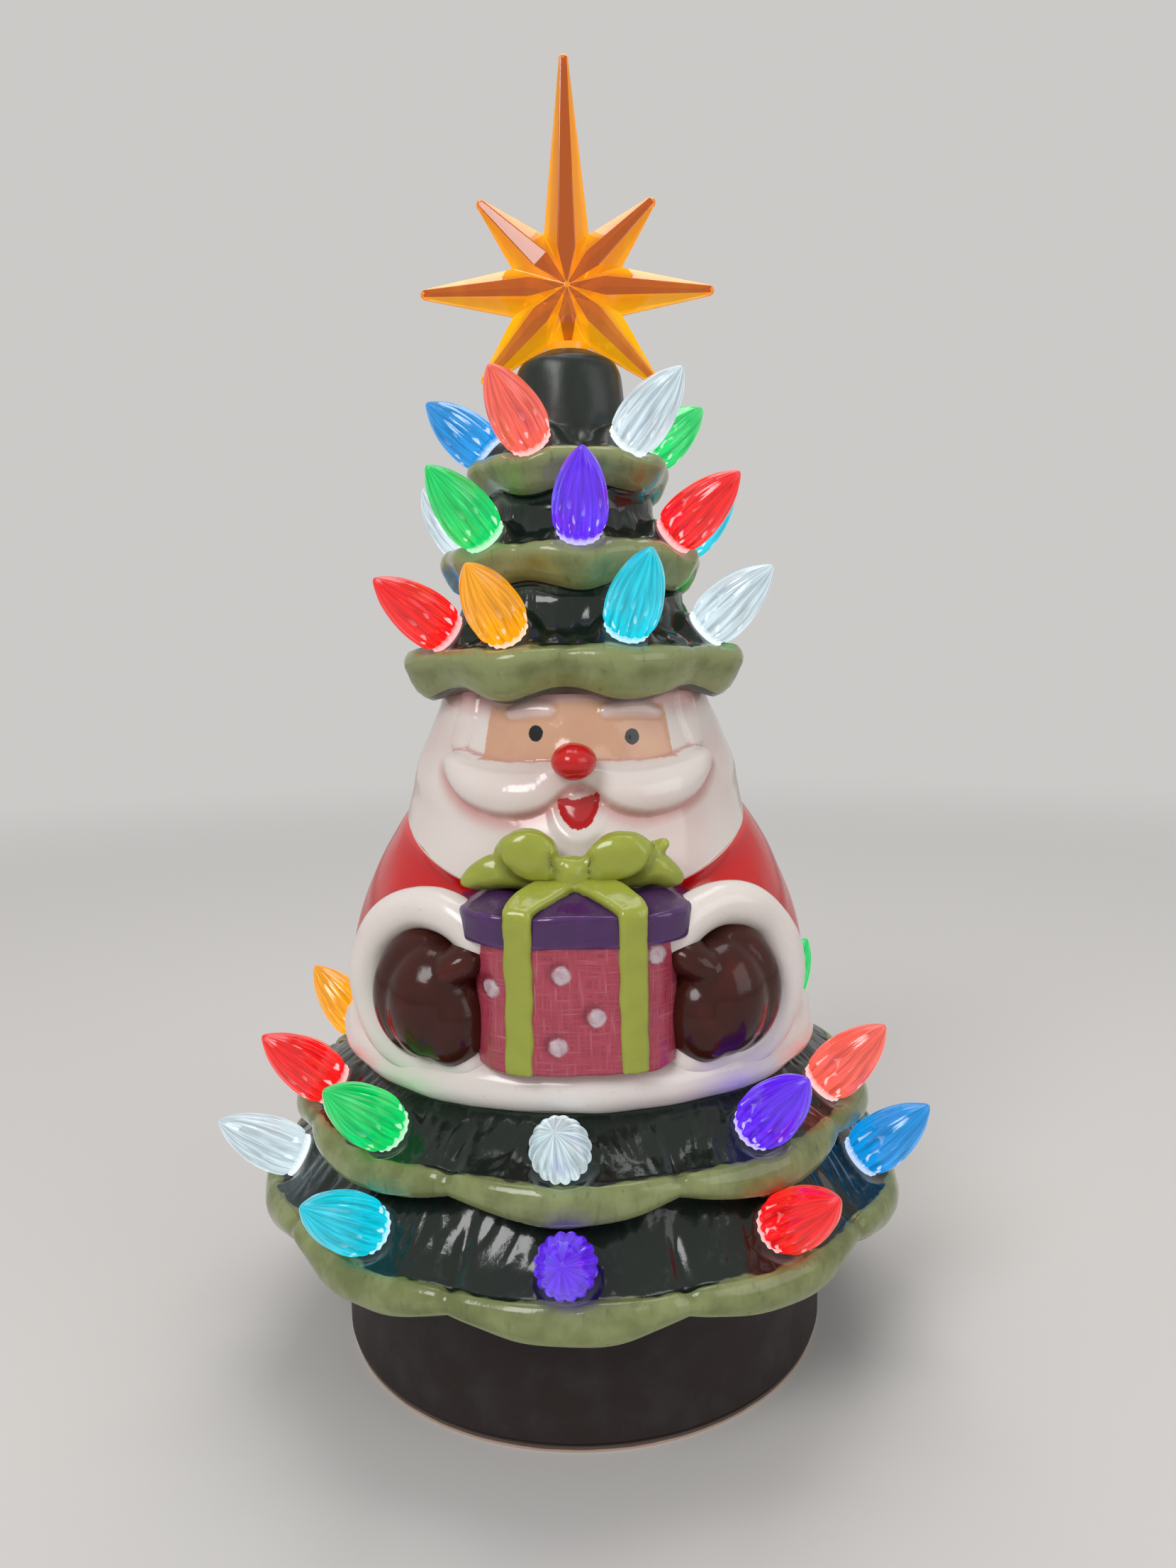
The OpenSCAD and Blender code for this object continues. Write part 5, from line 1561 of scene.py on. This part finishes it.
class DressBase(Dresser, Operator):
    """Gives the base, its plate and all that it holds their finishes"""

    bl_idname = "tree.dress_base"
    bl_label = "Base and fittings"

    def execute(self, context):
        c = sizes()[3]
        finishes = {
            "matte_ceramic": matt_base(c),
            "black_plastic": moulded("black_plastic", (0.025, 0.025, 0.027)),
            "grey_plastic": moulded("grey_plastic", (0.22, 0.22, 0.23)),
            "white_plastic": moulded("white_plastic", (0.72, 0.71, 0.68), 0.3),
            "frosted_plastic": moulded("frosted_plastic", (0.82, 0.82, 0.78), 0.55, transmission_weight=0.4,
                                       emission_color=(1.0, 0.85, 0.6), emission_strength=0.3),
            "pale_silicone": pale_ring(c),
            "plated_steel": plated("plated_steel", (0.62, 0.61, 0.58)),
            "cell_sleeve": cell_sleeve(),
            "green_board": moulded("green_board", (0.02, 0.16, 0.06), 0.3),
            "diode_lens": moulded("diode_lens", (0.9, 0.8, 0.5), 0.15, emission_color=(1.0, 0.8, 0.45),
                                  emission_strength=2.0),
            "red_sleeve": moulded("red_sleeve", (0.55, 0.02, 0.02), 0.35),
        }
        for sub in frame["record"]["subparts"]:
            finish = finishes.get(sub["material_slot"])
            if finish:
                for slot in frame["nodes"][sub["node"]].material_slots:
                    slot.material = finish
        return {"FINISHED"}


class SetStage(Dresser, Operator):
    """Lays the floor and sets the lights and the camera"""

    bl_idname = "tree.set_stage"
    bl_label = "Stage"

    lights = (("key", (-0.45, -0.75, 0.85), 0.45, 6.0), ("fill", (0.85, -0.55, 0.5), 0.7, 2.4),
              ("top", (0.05, 0.25, 1.1), 0.7, 4.5))
    aim = Vector((0, 0, 0.14))
    sensor_w = 36.0

    def execute(self, context):
        scene = context.scene
        stage, c = scene.stage_sizes, scene.finishes
        camera = bpy.data.objects.new("camera", bpy.data.cameras.new("camera"))
        camera.data.lens = stage.lens
        camera.data.sensor_width = self.sensor_w
        camera.data.clip_start = 0.01
        camera.matrix_world = (Matrix.Translation(stage.eye)
                               @ Matrix.Rotation(math.radians(90) - stage.pitch, 4, "X")
                               @ Matrix.Rotation(stage.roll, 4, "Z"))
        scene.collection.objects.link(camera)
        scene.camera = camera
        self.floor(scene, stage, c)
        self.world(scene, stage)
        for light in self.lights:
            self.light(scene, *light)
        scene.view_settings.view_transform = "Standard"
        return {"FINISHED"}

    def floor(self, scene, stage, c):
        """A wide pale floor that fades into the backdrop where the camera sees it."""
        g = Graph("floor")
        color = g.mix(c.floor, dimmed(c.floor, 0.97), g.noise(0.3))
        x, y, _ = g.axes(g.place())
        far = ((x * x + y * y) ** 0.5).step(0.25, 1.2)
        seen = g.add("ShaderNodeLightPath", output="Is Camera Ray")
        near = g.add("ShaderNodeBsdfPrincipled", sockets={"Base Color": color, "Roughness": 0.75})
        glow = g.add("ShaderNodeEmission", sockets={"Color": (*stage.backdrop, 1.0)})
        blend = g.add("ShaderNodeMixShader", sockets={0: far * seen, 1: near, 2: glow})
        mesh = bpy.data.meshes.new("floor")
        bm = bmesh.new()
        bmesh.ops.create_grid(bm, x_segments=4, y_segments=4, size=stage.floor_half)
        bm.to_mesh(mesh)
        bm.free()
        mesh.materials.append(g.close("ShaderNodeOutputMaterial", blend))
        floor = bpy.data.objects.new("floor", mesh)
        scene.collection.objects.link(floor)

    def world(self, scene, stage):
        """Soft light from all round, with the backdrop's colour where the world itself is seen."""
        g = Graph("studio", bpy.data.worlds.new("studio"))
        camera, gloss, through = [g.add("ShaderNodeLightPath", output=f"Is {way} Ray")
                                  for way in ("Camera", "Glossy", "Transmission")]
        shown = most(most(camera, gloss), through)
        soft = g.add("ShaderNodeBackground", sockets={"Color": (1, 1, 1, 1), "Strength": stage.sky})
        pale = g.add("ShaderNodeBackground", sockets={"Color": (*stage.backdrop, 1.0), "Strength": 1.0})
        mixed = g.add("ShaderNodeMixShader", sockets={0: shown, 1: soft, 2: pale})
        scene.world = g.close("ShaderNodeOutputWorld", mixed)

    def light(self, scene, name, place, size, power):
        """A soft square light that looks at the middle of the tree."""
        lamp = bpy.data.lights.new(name, "AREA")
        lamp.energy = power
        lamp.size = size
        obj = bpy.data.objects.new(name, lamp)
        place = Vector(place)
        turn = (place - self.aim).to_track_quat("Z", "Y").to_matrix().to_4x4()
        obj.matrix_world = Matrix.Translation(place) @ turn
        scene.collection.objects.link(obj)


STEPS = (SetStage, DressSkirt, DressHat, DressCoat, DressHead, DressHands, DressGift, DressLamps, DressStar,
         DressBase)
GROUPS = {"tree_sizes": TreeSizes, "figure_sizes": FigureSizes, "lamp_sizes": LampSizes,
          "finishes": Finishes, "stage_sizes": StageSizes}


class CeramicTreePanel(Panel):
    """Lists the steps that dress the tree"""

    bl_idname = "VIEW3D_PT_ceramic_tree"
    bl_label = "Ceramic Tree"
    bl_space_type = "VIEW_3D"
    bl_region_type = "UI"
    bl_category = "Ceramic Tree"

    def draw(self, context):
        for step_class in STEPS:
            self.layout.operator(step_class.bl_idname)
        for name in GROUPS:
            group = getattr(context.scene, name)
            box = self.layout.box()
            for key in group.__annotations__:
                box.prop(group, key)


CLASSES = (*GROUPS.values(), *STEPS, CeramicTreePanel)


def register():
    for cls in CLASSES:
        bpy.utils.register_class(cls)
    for name, group in GROUPS.items():
        setattr(bpy.types.Scene, name, PointerProperty(type=group))


def unregister():
    for name in GROUPS:
        delattr(bpy.types.Scene, name)
    for cls in reversed(CLASSES):
        bpy.utils.unregister_class(cls)


def main():
    register()
    for step_class in STEPS:
        group, name = step_class.bl_idname.split(".")
        getattr(getattr(bpy.ops, group), name)()


if __name__ == "__main__":
    main()
